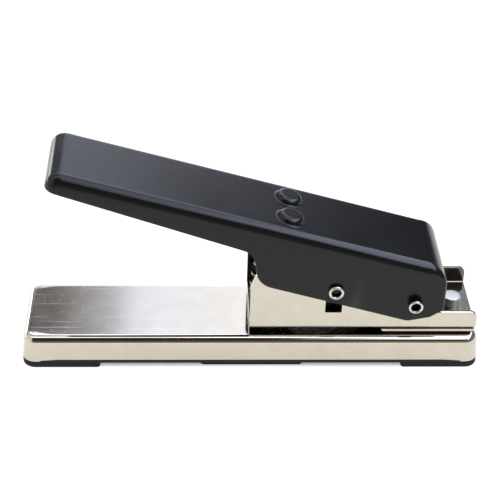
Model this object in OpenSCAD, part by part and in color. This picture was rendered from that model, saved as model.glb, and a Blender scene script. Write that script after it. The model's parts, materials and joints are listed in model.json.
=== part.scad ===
// Desk punch that cuts guitar picks out of plastic card.
// A long lever handle turns on a tubular rivet in a U-shaped frame and drives a pick-shaped punch
// through a die under the tray. Millimetres, +Z up, +X towards the pivot end, origin on the table.

/* [Tray] */
// Length of the pressed tray
tray_length = 170.8; // [150:0.2:200]
// Width of the pressed tray
tray_width = 36; // [35:0.5:44]
// Height of the tray's top above the table
tray_height = 13.4; // [12.6:0.2:18]
// Sheet thickness of the tray
tray_sheet = 1.2; // [0.8:0.1:1.4]
// Radius of the tray's corners seen from above
tray_corner = 5; // [3:0.5:8]
// Radius of the tray's top edge
tray_edge = 2.6; // [1.6:0.1:2.8]
// Length of the deeper skirt at each end of the tray
ear_length = 7; // [6:0.5:12]
// How much deeper the skirt is at the ends
ear_drop = 0.9; // [0.5:0.1:1.1]

/* [Underside] */
// Height of the rubber feet
foot_height = 2; // [1.5:0.1:3]
// Thickness of the bottom cover at its edge
cover_edge = 1.4; // [1.2:0.1:2]
// Height of the cover's snap rim inside the tray
rim_height = 3.4; // [2:0.1:3.8]
// Wall of the cover's snap rim
rim_wall = 1.2; // [0.8:0.1:2]
// Length of the foot at each end
end_foot_length = 29; // [20:1:34]
// Length of the middle foot
mid_foot_length = 38.6; // [30:0.2:46]
// How far the middle foot sits in from the tray's side
mid_foot_inset = 1.5; // [0.5:0.1:2]

/* [Pick] */
// Width of the pick across its shoulders
pick_width = 26; // [24:0.5:27]
// Length of the pick from its back to its tip
pick_length = 30; // [28:0.5:31]
// Radius of the pick's shoulders
shoulder_radius = 8.5; // [7:0.1:10]
// Radius of the pick's tip
tip_radius = 4; // [3:0.1:5]
// Radius of the pick's back edge
back_radius = 30; // [24:1:40]
// Radius of the pick's bowed sides
side_radius = 45; // [36:1:60]
// Distance from the pin forward to the pick's widest line
pick_lead = 8.3; // [7:0.1:9.5]

/* [Punch and die] */
// Height of the pick-shaped punch head
head_height = 12; // [11:0.5:14]
// How far the punch head hangs below the frame's floor at rest
head_drop = 0.8; // [0.4:0.1:1.2]
// Gap all round between the punch head and the die
die_gap = 0.08; // [0.04:0.01:0.1]
// Thickness of the die plate
die_thickness = 4; // [3:0.1:4.2]
// Margin of the tray's opening round the die's opening
tray_hole_margin = 1.7; // [1:0.1:1.8]
// Length of the punch block
block_length = 22; // [22:0.5:26]
// Width of the punch block
block_width = 20; // [14:0.5:24]
// Height of the punch block above the pin's axis
block_rise = 4.4; // [4:0.1:6]
// Thread diameter of the punch and die screws
screw_diameter = 3.6; // [3:0.1:4]
// Head diameter of the punch and die screws
screw_head = 6.2; // [5.4:0.1:6.4]

/* [Frame] */
// Length of the U-shaped frame
frame_length = 84.2; // [83.6:0.2:90]
// Sheet thickness of the frame
frame_sheet = 1.5; // [1.2:0.1:1.8]
// Inside radius of the frame's bends
frame_bend = 0.5; // [0.3:0.1:0.6]
// Gap between the pick's shoulders and each cheek
cheek_margin = 0.6; // [0.5:0.1:1.5]
// Distance from the tray's rear end to the frame
rear_margin = 2.1; // [0:0.1:3]
// Thickness of the lower plate that spaces the frame off the tray
shim_thickness = 1.15; // [0.8:0.05:1.6]
// Thickness of the upper plate, which stops the card
stop_thickness = 0.95; // [0.8:0.05:1.6]
// Distance from the pick's tip back to the card stop plate
stop_gap = 5.6; // [4.7:0.1:8.7]
// Height of the low rail at the frame's rear end, from its underside
rail_height = 7.9; // [5:0.1:8.2]
// Radius of the cheek's top front corner
cheek_corner = 3; // [2:0.5:5]
// Gap between the cheek's top and the pressed handle
cheek_headroom = 3.4; // [2.5:0.1:4]

/* [Lever] */
// Height of the pivot above the frame's floor
pivot_rise = 11.8; // [11.4:0.1:14]
// Distance from the frame's front edge to the pivot
pivot_reach = 60.3; // [58.2:0.1:62.2]
// Distance from the pivot to the punch pin
lever_arm = 29.83; // [28.5:0.01:31]
// Angle of the pin above the pivot at rest
pin_lift = 10.8; // [9:0.1:12]
// Angle that the handle turns through, until it lies level
press_angle = 15.8; // [12:0.1:16]
// Outer diameter of the two tubular pins
pin_diameter = 5.2; // [4.6:0.1:5.4]
// Bore of the two tubular pins
pin_bore = 3.5; // [2.5:0.1:3.8]
// How far the punch pin stands out of the handle
pin_standout = 1.6; // [0.5:0.1:3]
// How far the pivot rivet stands out of the handle
pivot_standout = 2.7; // [0.5:0.1:4]

/* [Handle] */
// Sheet thickness of the handle
handle_sheet = 1.2; // [0.8:0.1:1.4]
// Gap between the frame's cheeks and the handle's walls
side_gap = 0.7; // [0.5:0.1:1.2]
// Reach of the handle in front of the pivot
front_reach = 141; // [125:0.2:150]
// Reach of the handle behind the pivot
rear_reach = 11; // [10.4:0.1:11.6]
// Height of the handle's top above the pivot
handle_rise = 16.8; // [16:0.1:20]
// Depth of the wall at the front end
front_depth = 6.9; // [6:0.1:10]
// Depth of the wall where the deep part starts
mid_depth = 12.1; // [10:0.1:14]
// Reach of the deep part in front of the pivot
deep_reach = 57.9; // [54:0.1:62]
// How far the deep part hangs below the pivot
deep_drop = 8.3; // [7.4:0.1:8.8]
// Radius of the long bends along the handle's top
handle_bend = 2.5; // [1.8:0.1:4]
// Radius of the bend at the handle's front end
front_bend = 4.2; // [3:0.1:4.6]
// Radius of the handle's front corners seen from above
front_round = 4.6; // [3:0.1:6]
// Radius of the bend at the handle's rear end
rear_bend = 9.5; // [8:0.1:10.5]

/* [Springs] */
// Distance between the two springs, and between their raised seats in the handle
spring_spacing = 13.2; // [12:0.1:14]
// Reach of the seats in front of the pivot
seat_reach = 52.8; // [51:0.1:53.5]
// Diameter of a seat at the handle's top
seat_diameter = 10.2; // [9.6:0.1:10.8]
// How much narrower a seat is at its top
seat_taper = 2.2; // [1.6:0.1:2.6]
// Height of a seat above the handle's top
seat_height = 2; // [1.4:0.1:2.6]
// Radius of a seat's shoulder
seat_shoulder = 2; // [1.4:0.1:2.2]
// Inner diameter of the springs
spring_bore = 5; // [4.6:0.1:5.2]
// Wire diameter of the springs
wire_diameter = 1; // [0.8:0.1:1.1]
// Turns of each spring, with its two close end turns
spring_turns = 11; // [8:1:12]
// Distance from the frame's front edge to the middle of the springs' feet
foot_setback = 4.2; // [4:0.1:6]
// Height of the posts that hold the springs' feet
post_height = 3; // [2:0.1:5]

/* [Hidden] */

// Fits
run_gap = 0.06;
seat_gap = 0.02;
slide_gap = 0.1;
slot_gap = 0.2;
snap_gap = 0.15;
loose_gap = 0.3;
through = 1;
far_below = 60;
round_fn = 64;
arc_steps = 8;

// Heights
cover_top = foot_height + cover_edge;
skirt_bottom = cover_top - ear_drop;
shim_top = tray_height + shim_thickness;
frame_bottom = shim_top + stop_thickness;
floor_top = frame_bottom + frame_sheet;
rail_top = frame_bottom + rail_height;
pivot_z = floor_top + pivot_rise;
cheek_top = pivot_z + handle_rise - handle_sheet - cheek_headroom;
die_top = tray_height - tray_sheet;
die_bottom = die_top - die_thickness;

// Places along the length
frame_rear = tray_length / 2 - rear_margin;
frame_front = frame_rear - frame_length;
pivot_x = frame_front + pivot_reach;

// Widths, each as half of its piece: the frame takes the pick's shoulders and both springs
spring_radius = (spring_bore + wire_diameter) / 2;
spring_outer = spring_radius + wire_diameter / 2;
spring_side_gap = 0.5;
cheek_inner = max(pick_width / 2 + cheek_margin, spring_spacing / 2 + spring_outer + spring_side_gap);
cheek_outer = cheek_inner + frame_sheet;
wall_inner = cheek_outer + side_gap;
wall_outer = wall_inner + handle_sheet;

// Path of the punch pin
pin_x = pivot_x - lever_arm * cos(pin_lift);
pin_z = pivot_z + lever_arm * sin(pin_lift);
pin_low_z = pivot_z + lever_arm * sin(pin_lift - press_angle);
pin_front_x = pivot_x - lever_arm * (press_angle > pin_lift ? 1 : cos(pin_lift - press_angle));
pin_rear_x = pivot_x - lever_arm * min(cos(pin_lift), cos(pin_lift - press_angle));
pin_mid_x = (pin_front_x + pin_rear_x) / 2;
pin_radius = pin_diameter / 2;

// Pick outline: shoulder, tip and the centres of the bowed sides and back
pick_x = pin_mid_x - pick_lead;
shoulder_y = pick_width / 2 - shoulder_radius;
back_center_x = pick_x + sqrt(pow(back_radius - shoulder_radius, 2) - pow(shoulder_y, 2));
pick_back = back_center_x - back_radius;
tip_x = pick_back + pick_length - tip_radius;
shoulder = [pick_x, shoulder_y];
tip = [tip_x, 0];
side_center = circle_meet(shoulder, side_radius - shoulder_radius, tip, side_radius - tip_radius);
tip_turn = heading(side_center, tip);
side_turn = heading(side_center, shoulder);
back_turn = heading([back_center_x, 0], shoulder);

// Punch
head_bottom = frame_bottom - head_drop;
head_top = head_bottom + head_height;
block_top = pin_z + block_rise;
screw_wall = 1.2;
block_screw_inset = screw_head / 2 + screw_wall;
screw_head_height = 3;
screw_bite = 8;
head_slack = 0.3;

// Fasteners through the tray and the frame
die_end_margin = 11;
die_side_gap = 0.4;
die_overlap = 12;
stop_front = pick_back + pick_length + stop_gap;
die_front = pick_back - die_end_margin;
die_rear = stop_front + die_overlap;
die_half_width = tray_width / 2 - max(tray_edge, tray_sheet) - die_side_gap;
rivet_shank = 4;
rivet_head = 6.4;
rivet_dome = 1.7;
rivet_tail = 1.2;
stud_diameter = 6.9;
stud_height = 3.5;
stud_edge = 0.4;
rear_rivet_inset = 7;
frame_rivet_inset = 5.5;
frame_rivet_spacing = 18;
shim_inset = 1.2;
shim_setback = 1.5;
stop_inset = 0.2;
stop_rear_inset = 0.4;
drop_margin = 2.2;
drop_side_margin = 1.2;
drop_corner = 3;
mid_foot_corner = 2;

// Cheek profile
slope_start = pin_rear_x + 8;
boss_reach = 6.3;
boss_rise = 6.8;
boss_corner = 6;
rail_fillet = 2;
rail_corner = 2.4;
cheek_slant = 2.2;
cheek_slant_drop = 6.4;

// Pivot fittings
sleeve_wall = 1.4;
washer_rim = 2;
washer_play = 0.05;

// Handle profile
deep_slope = 0.6;
valley_x = 0;
valley_radius = 4;
rear_lip = 2.5;
rear_corner = 2.5;
rear_lean = 4.4;
rear_lean_angle = atan2(rear_lean, handle_rise + rear_lip);
rear_wall_rise = 0.6;
step_run = 5.3;
step_fillet = 6.5;
deep_corner = 7.7;
front_corner = 0.85 * (front_depth - front_bend);

// Raised seats, each a cone with a round shoulder pressed up out of the sheet, which thins there
seat_wall = 0.75 * handle_sheet;
seat_lean = atan2(seat_taper / 2, seat_height);

// Spring line, from its foot on the floor to its seat under the handle
close_turn_gap = 0.5;
foot_turn_pitch = wire_diameter + close_turn_gap;
spring_foot = [frame_front + foot_setback, floor_top + slide_gap + wire_diameter / 2];
seat_rise = seat_height - seat_wall - loose_gap - wire_diameter / 2;
spring_seat = turned([-seat_reach, handle_rise + seat_rise]);
post_gap = 0.45;
post_shank = 2.5;
spring_length = norm(spring_seat - spring_foot);
rings_per_turn = 8;
wire_sides = 6;
spring_rings = spring_turns * rings_per_turn;

// A point of the handle's level drawing, turned up to the rest pose
function turned(p) = [pivot_x + p[0] * cos(press_angle) + p[1] * sin(press_angle),
                      pivot_z - p[0] * sin(press_angle) + p[1] * cos(press_angle)];

// Radius of a seat's outer cone at a height above the handle's top
function seat_cone(height) = seat_diameter / 2 - height * tan(seat_lean);

// Direction from one point to another
function heading(from, to) = atan2(to[1] - from[1], to[0] - from[0]);

// Point at one distance from p and another from q, on the right of the way from p to q
function circle_meet(p, p_radius, q, q_radius) =
    let (d = norm(q - p),
         along = (d * d + p_radius * p_radius - q_radius * q_radius) / (2 * d),
         aside = sqrt(p_radius * p_radius - along * along),
         u = (q - p) / d)
    p + u * along + [u[1], -u[0]] * aside;

// Points of an arc, ends included
function arc(center, radius, from, to) =
    [for (i = [0 : arc_steps]) let (a = from + (to - from) * i / arc_steps)
        center + radius * [cos(a), sin(a)]];

// Points of the arc that rounds the corner at q, coming from p and going to s
function rounded_corner(p, q, s, radius) =
    let (a = (p - q) / norm(p - q),
         b = (s - q) / norm(s - q),
         half = acos(a * b) / 2,
         center = q + (a + b) / norm(a + b) * radius / sin(half),
         from = heading(center, q + a * radius / tan(half)),
         to = heading(center, q + b * radius / tan(half)),
         turn = to - from,
         sweep = turn > 180 ? turn - 360 : turn < -180 ? turn + 360 : turn)
    arc(center, radius, from, from + sweep);

// Outline through corners given as [x, y, radius]
function soft_outline(corners) =
    let (n = len(corners))
    [for (i = [0 : n - 1])
        let (before = corners[(i + n - 1) % n], here = corners[i], after = corners[(i + 1) % n])
        each here[2] == 0
            ? [[here[0], here[1]]]
            : rounded_corner([before[0], before[1]], [here[0], here[1]], [after[0], after[1]], here[2])];

// Outline of the pick, grown by a margin all round
function pick_points(grow) =
    let (upper_center = side_center, lower_center = [side_center[0], -side_center[1]])
    concat(arc(tip, tip_radius + grow, -tip_turn, tip_turn),
           arc(upper_center, side_radius + grow, tip_turn, side_turn),
           arc(shoulder, shoulder_radius + grow, side_turn, back_turn),
           arc([back_center_x, 0], back_radius + grow, back_turn, 360 - back_turn),
           arc([shoulder[0], -shoulder[1]], shoulder_radius + grow, 360 - back_turn, 360 - side_turn),
           arc(lower_center, side_radius + grow, 360 - side_turn, 360 - tip_turn));

// Rise of the spring's wire along its length after a number of turns
function spring_climb(turns) =
    let (close = foot_turn_pitch,
         open = (spring_length - 2 * close) / (spring_turns - 2))
    turns < 1 ? close * turns
        : turns > spring_turns - 1 ? spring_length - close * (spring_turns - turns)
        : close + open * (turns - 1);

// Point of the spring's curved centre line and its heading there, for a share of its length
function spring_line(share) =
    let (up = spring_length * [0, 1],
         top = spring_length * [sin(press_angle), cos(press_angle)],
         s = share)
    (2 * s * s * s - 3 * s * s + 1) * spring_foot + (s * s * s - 2 * s * s + s) * up
        + (3 * s * s - 2 * s * s * s) * spring_seat + (s * s * s - s * s) * top;
function spring_lean(share) = press_angle * share;

// Centre of the wire at one of its rings, with the spring's own middle at y = 0
function wire_center(ring) =
    let (turns = ring / rings_per_turn,
         share = spring_climb(turns) / spring_length,
         line = spring_line(share),
         lean = spring_lean(share),
         across = spring_radius * cos(360 * turns))
    [line[0] + across * cos(lean), spring_radius * sin(360 * turns), line[1] - across * sin(lean)];

// Ring of points round the wire, square to its run
function wire_ring(ring) =
    let (turns = ring / rings_per_turn,
         lean = spring_lean(spring_climb(turns) / spring_length),
         out = [cos(360 * turns) * cos(lean), sin(360 * turns), -cos(360 * turns) * sin(lean)],
         up = [sin(lean), 0, cos(lean)])
    [for (k = [0 : wire_sides - 1]) let (a = 360 * k / wire_sides)
        wire_center(ring) + wire_diameter / 2 * (cos(a) * out + sin(a) * up)];

// Least gap between turns of one spring, measured on the wire's centre points
spring_gap = min([for (i = [0 : spring_rings - rings_per_turn / 2])
                  for (j = [i + rings_per_turn / 2 : spring_rings])
                      norm(wire_center(i) - wire_center(j))]) - wire_diameter;
echo("least gap between the turns of a return spring", spring_gap);

// Solid standing on an outline, from one height to another
module standing(bottom, top) {
    translate([0, 0, bottom])
        linear_extrude(top - bottom)
            children();
}

// Side drawing (x, z) as a solid that reaches the same way to both sides
module side_solid(half_width) {
    translate([0, half_width, 0])
        rotate([90, 0, 0])
            linear_extrude(2 * half_width)
                children();
}

// End drawing (y, z) as a solid between two places along the length
module end_solid(from, to) {
    translate([from, 0, 0])
        rotate([90, 0, 90])
            linear_extrude(to - from)
                children();
}

// Rounded rectangle about the origin
module soft_rectangle(length, width, radius) {
    x = length / 2;
    y = width / 2;
    polygon(soft_outline([[x, y, radius], [-x, y, radius], [-x, -y, radius], [x, -y, radius]]));
}

// Cylinder across the object, about a point of the side drawing
module cross_cylinder(x, z, half_length, diameter) {
    translate([x, 0, z])
        rotate([90, 0, 0])
            cylinder(h = 2 * half_length, d = diameter, center = true, $fn = round_fn);
}

// Upright cylinder between two heights
module post(x, y, bottom, top, diameter) {
    translate([x, y, bottom])
        cylinder(h = top - bottom, d = diameter, $fn = round_fn);
}

// Block with rounded upright corners and a rounded top edge
module tray_block(length, width, corner, edge, bottom, top) {
    flat_x = length / 2 - corner;
    flat_y = width / 2 - corner;
    rim = soft_outline([[0, bottom, 0], [corner, bottom, 0], [corner, top, edge], [0, top, 0]]);
    end_solid(-flat_x, flat_x)
        polygon(soft_outline([[-width / 2, bottom, 0], [width / 2, bottom, 0],
                              [width / 2, top, edge], [-width / 2, top, edge]]));
    for (side = [-1, 1])
        translate([side * flat_x, 0, 0])
            rotate([0, 0, side > 0 ? 0 : 180])
                side_solid(flat_y)
                    polygon(rim);
    for (quarter = [0 : 3]) {
        x = quarter == 0 || quarter == 3 ? flat_x : -flat_x;
        y = quarter < 2 ? flat_y : -flat_y;
        translate([x, y, 0])
            rotate([0, 0, 90 * quarter])
                rotate_extrude(angle = 90, $fn = round_fn)
                    polygon(rim);
    }
}

// Shank of a rivet between two heights, with its flat tail below
module rivet_stem(seat, tail_seat) {
    post(0, 0, tail_seat, seat, rivet_shank - 2 * seat_gap);
    post(0, 0, tail_seat - rivet_tail, tail_seat, rivet_head);
}

// Domed rivet head on a surface
module rivet_dome_head(seat) {
    dome_radius = (pow(rivet_head / 2, 2) + pow(rivet_dome, 2)) / (2 * rivet_dome);
    translate([0, 0, seat])
        intersection() {
            cylinder(h = rivet_dome, d = rivet_head, $fn = round_fn);
            translate([0, 0, rivet_dome - dome_radius])
                sphere(r = dome_radius, $fn = round_fn);
        }
}

// Tall flat rivet head with a rounded edge on a surface
module rivet_stud_head(seat) {
    radius = stud_diameter / 2;
    translate([0, 0, seat])
        rotate_extrude($fn = round_fn)
            polygon(soft_outline([[0, 0, 0], [radius, 0, 0],
                                  [radius, stud_height, stud_edge], [0, stud_height, 0]]));
}

// Countersunk screw whose head is level with a surface
module flat_screw(x, y, surface, bottom, gap) {
    cone = (screw_head - screw_diameter) / 2;
    post(x, y, bottom, surface - cone + abs(gap), screw_diameter - 2 * gap);
    translate([x, y, surface - cone])
        cylinder(h = cone, d1 = screw_diameter - 2 * gap, d2 = screw_head - 2 * gap, $fn = round_fn);
}

module at_rear_rivet() {
    translate([frame_rear - rear_rivet_inset, 0, 0])
        children();
}

module at_frame_rivets() {
    for (side = [-1, 1])
        translate([stop_front + frame_rivet_inset, side * frame_rivet_spacing / 2, 0])
            children();
}

module at_die_screws() {
    for (side = [-1, 1])
        translate([die_front + die_end_margin / 2, side * frame_rivet_spacing / 2, 0])
            children();
}

module at_springs() {
    for (side = [-1, 1])
        translate([0, side * spring_spacing / 2, 0])
            children();
}

// The handle's level drawing, turned up about the pivot
module raised() {
    translate([pivot_x, 0, pivot_z])
        rotate([0, press_angle, 0])
            children();
}

module fixing_holes(bottom, top) {
    at_rear_rivet()
        post(0, 0, bottom, top, rivet_shank);
    at_frame_rivets()
        post(0, 0, bottom, top, rivet_shank);
}

module drop_opening(bottom, top) {
    from = pick_back - drop_margin;
    to = tip_x + tip_radius + drop_margin;
    standing(bottom, top)
        translate([(from + to) / 2, 0])
            soft_rectangle(to - from, pick_width + 2 * drop_side_margin, drop_corner);
}

// Pressed tray that the frame stands on
module base_tray() {
    color("#d8d0c2")
        difference() {
            tray_block(tray_length, tray_width, tray_corner, tray_edge, skirt_bottom, tray_height);
            tray_block(tray_length - 2 * tray_sheet, tray_width - 2 * tray_sheet, tray_corner - tray_sheet,
                       max(tray_edge - tray_sheet, 0), skirt_bottom - through, die_top);
            skirt_gap = tray_length - 2 * ear_length;
            translate([-skirt_gap / 2, -tray_width, skirt_bottom - through])
                cube([skirt_gap, 2 * tray_width, cover_top - skirt_bottom + through]);
            standing(die_top - through, tray_height + through)
                polygon(pick_points(tray_hole_margin));
            fixing_holes(die_top - through, tray_height + through);
            at_die_screws()
                flat_screw(0, 0, tray_height + seat_gap, die_top - through, -seat_gap);
        }
}

// Black cover that closes the tray from below and snaps into it
module bottom_cover() {
    inner_length = tray_length - 2 * (tray_sheet + snap_gap);
    inner_width = tray_width - 2 * (tray_sheet + snap_gap);
    inner_corner = tray_corner - tray_sheet - snap_gap;
    color("#2e2e2b")
        difference() {
            union() {
                standing(foot_height, skirt_bottom)
                    soft_rectangle(tray_length, tray_width, tray_corner);
                standing(skirt_bottom, cover_top + rim_height)
                    soft_rectangle(inner_length, inner_width, inner_corner);
                translate([-tray_length / 2 + ear_length + snap_gap, -tray_width / 2, skirt_bottom])
                    cube([tray_length - 2 * (ear_length + snap_gap), tray_width, ear_drop]);
            }
            standing(cover_top, cover_top + rim_height + through)
                soft_rectangle(inner_length - 2 * rim_wall, inner_width - 2 * rim_wall,
                               max(inner_corner - rim_wall, 0));
            drop_opening(foot_height - through, cover_top + through);
        }
}

module end_foot(side) {
    color("#33332f")
        intersection() {
            standing(0, foot_height)
                soft_rectangle(tray_length, tray_width, tray_corner);
            translate([side > 0 ? tray_length / 2 - end_foot_length : -tray_length / 2, -tray_width, 0])
                cube([end_foot_length, 2 * tray_width, foot_height]);
        }
}

module foot_front() {
    end_foot(-1);
}

module foot_rear() {
    end_foot(1);
}

module foot_middle() {
    color("#33332f")
        difference() {
            standing(0, foot_height)
                soft_rectangle(mid_foot_length, tray_width - 2 * mid_foot_inset, mid_foot_corner);
            drop_opening(-through, foot_height + through);
        }
}

// Hard plate with the cutting edge, under the tray's top
module die_plate() {
    color("#8f9094")
        difference() {
            translate([die_front, -die_half_width, die_bottom])
                cube([die_rear - die_front, 2 * die_half_width, die_thickness]);
            standing(die_bottom - through, die_top + through)
                polygon(pick_points(die_gap));
            at_frame_rivets()
                post(0, 0, die_bottom - through, die_top + through, rivet_shank);
            at_die_screws()
                flat_screw(0, 0, tray_height + seat_gap, die_bottom - through, -seat_gap);
        }
}

module die_screws() {
    color("#a8a6a2")
        at_die_screws()
            flat_screw(0, 0, tray_height, die_bottom, seat_gap);
}

module spacer_shim() {
    half_width = cheek_outer - shim_inset;
    from = stop_front + shim_setback;
    color("#55504a")
        difference() {
            translate([from, -half_width, tray_height])
                cube([frame_rear - shim_inset - from, 2 * half_width, shim_thickness]);
            fixing_holes(tray_height - through, shim_top + through);
        }
}

// Plate whose front edge stops the card
module card_stop_plate() {
    half_width = cheek_outer - stop_inset;
    color("#d9cfbd")
        difference() {
            translate([stop_front, -half_width, shim_top])
                cube([frame_rear - stop_rear_inset - stop_front, 2 * half_width, stop_thickness]);
            fixing_holes(shim_top - through, frame_bottom + through);
        }
}

module cheek_drawing() {
    polygon(soft_outline([[frame_front, frame_bottom, 0],
                          [frame_rear, frame_bottom, 0],
                          [frame_rear, rail_top, rail_corner],
                          [pivot_x + boss_reach, rail_top, rail_fillet],
                          [pivot_x + boss_reach, pivot_z + boss_rise, boss_corner],
                          [slope_start, cheek_top, boss_corner],
                          [frame_front + cheek_slant, cheek_top, cheek_corner],
                          [frame_front, cheek_top - cheek_slant_drop, cheek_corner]]));
}

module channel_drawing() {
    bend = frame_bend + frame_sheet;
    polygon(soft_outline([[-cheek_outer, frame_bottom, bend],
                          [cheek_outer, frame_bottom, bend],
                          [cheek_outer, cheek_top + through, 0],
                          [cheek_inner, cheek_top + through, 0],
                          [cheek_inner, floor_top, frame_bend],
                          [-cheek_inner, floor_top, frame_bend],
                          [-cheek_inner, cheek_top + through, 0],
                          [-cheek_outer, cheek_top + through, 0]]));
}

// Bent U-shaped frame: floor, cheeks, slots for the punch pin, guide for the punch
module punch_frame() {
    slot_front = pin_front_x - pin_radius - slot_gap;
    slot_rear = pin_rear_x + pin_radius + slot_gap;
    slot_bottom = pin_low_z - pin_radius - slot_gap;
    slot_top = pin_z + pin_radius + slot_gap;
    color("#ddd4c4")
        difference() {
            intersection() {
                end_solid(frame_front, frame_rear)
                    channel_drawing();
                side_solid(cheek_outer + through)
                    cheek_drawing();
            }
            translate([slot_front, -cheek_outer - through, slot_bottom])
                cube([slot_rear - slot_front, 2 * (cheek_outer + through), slot_top - slot_bottom]);
            cross_cylinder(pivot_x, pivot_z, cheek_outer + through, pin_diameter + 2 * seat_gap);
            standing(frame_bottom - through, floor_top + through)
                polygon(pick_points(slide_gap));
            fixing_holes(frame_bottom - through, floor_top + through);
            at_springs()
                post(spring_foot[0], 0, frame_bottom - through, floor_top + through, post_shank);
        }
}

module rear_rivet() {
    color("#c9ccd2")
        at_rear_rivet() {
            rivet_stem(floor_top, die_top);
            rivet_stud_head(floor_top);
        }
}

module frame_rivets() {
    color("#c9ccd2")
        at_frame_rivets() {
            rivet_stem(floor_top, die_bottom);
            rivet_dome_head(floor_top);
        }
}

// Tube across the object
module cross_tube(half_length) {
    difference() {
        cross_cylinder(0, 0, half_length, pin_diameter);
        cross_cylinder(0, 0, half_length + through, pin_bore);
    }
}

module pivot_rivet() {
    color("#d6d3cc")
        translate([pivot_x, 0, pivot_z])
            cross_tube(wall_outer + pivot_standout);
}

// Sleeve that keeps the cheeks apart when the pivot is riveted
module pivot_sleeve() {
    color("#9b9a97")
        translate([pivot_x, 0, pivot_z])
            difference() {
                cross_cylinder(0, 0, cheek_inner - washer_play, pin_diameter + 2 * (run_gap + sleeve_wall));
                cross_cylinder(0, 0, cheek_inner + through, pin_diameter + 2 * run_gap);
            }
}

module pivot_washers() {
    thickness = side_gap - 2 * washer_play;
    color("#b9b7b2")
        for (side = [-1, 1])
            translate([pivot_x, side * (cheek_outer + side_gap / 2), pivot_z])
                difference() {
                    cross_cylinder(0, 0, thickness / 2, pin_diameter + 2 * (run_gap + washer_rim));
                    cross_cylinder(0, 0, thickness, pin_diameter + 2 * run_gap);
                }
}

module spring_posts() {
    color("#b0aea9")
        at_springs() {
            post(spring_foot[0], 0, floor_top, floor_top + post_height, spring_bore - 2 * post_gap);
            post(spring_foot[0], 0, frame_bottom, floor_top, post_shank - 2 * seat_gap);
        }
}

// One return spring as an unbroken wire
module return_spring(side) {
    points = [for (ring = [0 : spring_rings]) each wire_ring(ring)];
    last = spring_rings * wire_sides;
    walls = [for (ring = [0 : spring_rings - 1])
             for (k = [0 : wire_sides - 1])
                 let (a = ring * wire_sides + k,
                      b = ring * wire_sides + (k + 1) % wire_sides)
                 each [[a, a + wire_sides, b], [b, a + wire_sides, b + wire_sides]]];
    first_cap = [for (k = [1 : wire_sides - 2]) [0, k, k + 1]];
    last_cap = [for (k = [1 : wire_sides - 2]) [last, last + k + 1, last + k]];
    color("#8d8b86")
        translate([0, side * spring_spacing / 2, 0])
            polyhedron(points, concat(walls, first_cap, last_cap));
}

module return_spring_near() {
    return_spring(-1);
}

module return_spring_far() {
    return_spring(1);
}

// Outer side drawing of the handle, about the pivot, with the handle level
module handle_drawing() {
    polygon(soft_outline([[-front_reach, handle_rise, front_bend],
                          [-front_reach, handle_rise - front_depth, front_corner],
                          [-deep_reach - step_run, handle_rise - mid_depth, step_fillet],
                          [-deep_reach, deep_slope - deep_drop, deep_corner],
                          [valley_x, -deep_drop, valley_radius],
                          [rear_reach, -rear_lip, rear_corner],
                          [rear_reach - rear_lean, handle_rise, rear_bend]]));
}

module hollow_drawing() {
    front = handle_sheet - front_reach;
    rear = rear_reach - handle_sheet / cos(rear_lean_angle);
    top = handle_rise - handle_sheet;
    slope = tan(rear_lean_angle);
    polygon(soft_outline([[front, -far_below, 0],
                          [rear + (far_below - rear_lip) * slope, -far_below, 0],
                          [rear - (top + rear_lip) * slope, top, rear_bend - handle_sheet],
                          [front, top, front_bend - handle_sheet]]));
}

// Body with the handle's bends: a side drawing cut by its cross section and its plan
module bent_body(half_width, top, bend, nose, front, rear) {
    intersection() {
        side_solid(half_width + through)
            children();
        end_solid(front - through, rear + through)
            polygon(soft_outline([[-half_width, -far_below, 0], [half_width, -far_below, 0],
                                  [half_width, top, bend], [-half_width, top, bend]]));
        standing(-far_below, top + through)
            polygon(soft_outline([[rear, half_width, bend], [front, half_width, nose],
                                  [front, -half_width, nose], [rear, -half_width, bend]]));
    }
}

// Round form of a spring seat on the handle's top, drawn in from its outside by an inset
module seat_form(bottom, top, inset, shoulder) {
    translate([-seat_reach, 0, handle_rise])
        rotate_extrude($fn = round_fn)
            polygon(soft_outline([[0, bottom, 0],
                                  [seat_cone(bottom) - inset, bottom, 0],
                                  [seat_cone(top) - inset, top, shoulder],
                                  [0, top, 0]]));
}

// Pressed lever handle, open below and low at the rear, with two raised seats that hold the springs
module handle() {
    pin_turn = pin_lift - press_angle;
    color("#26272b")
        raised()
            difference() {
                union() {
                    difference() {
                        bent_body(wall_outer, handle_rise, handle_bend, front_round, -front_reach, rear_reach)
                            handle_drawing();
                        bent_body(wall_inner, handle_rise - handle_sheet, handle_bend - handle_sheet,
                                  front_round - handle_sheet, handle_sheet - front_reach,
                                  rear_reach - handle_sheet)
                            hollow_drawing();
                    }
                    at_springs()
                        seat_form(-handle_sheet / 2, seat_height, 0, seat_shoulder);
                }
                at_springs()
                    seat_form(-handle_sheet - through, seat_height - seat_wall, seat_wall / cos(seat_lean),
                              seat_shoulder - seat_wall);
                side_solid(wall_inner)
                    polygon([[valley_x, -far_below], [rear_reach + through, -far_below],
                             [rear_reach + through, rear_wall_rise], [valley_x, rear_wall_rise]]);
                cross_cylinder(0, 0, wall_outer + through, pin_diameter + 2 * run_gap);
                cross_cylinder(-lever_arm * cos(pin_turn), lever_arm * sin(pin_turn), wall_outer + through,
                               pin_diameter + 2 * seat_gap);
            }
}

module punch_pin() {
    color("#d6d3cc")
        translate([pin_x, 0, pin_z])
            cross_tube(wall_outer + pin_standout);
}

module at_punch_screws() {
    for (side = [-1, 1])
        translate([pin_mid_x + side * (block_length / 2 - block_screw_inset), 0, 0])
            children();
}

// Pick-shaped cutter
module punch_head() {
    color("#77787c")
        difference() {
            standing(head_bottom, head_top)
                polygon(pick_points(0));
            at_punch_screws()
                post(0, 0, head_top - screw_bite, head_top + through, screw_diameter);
        }
}

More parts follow.
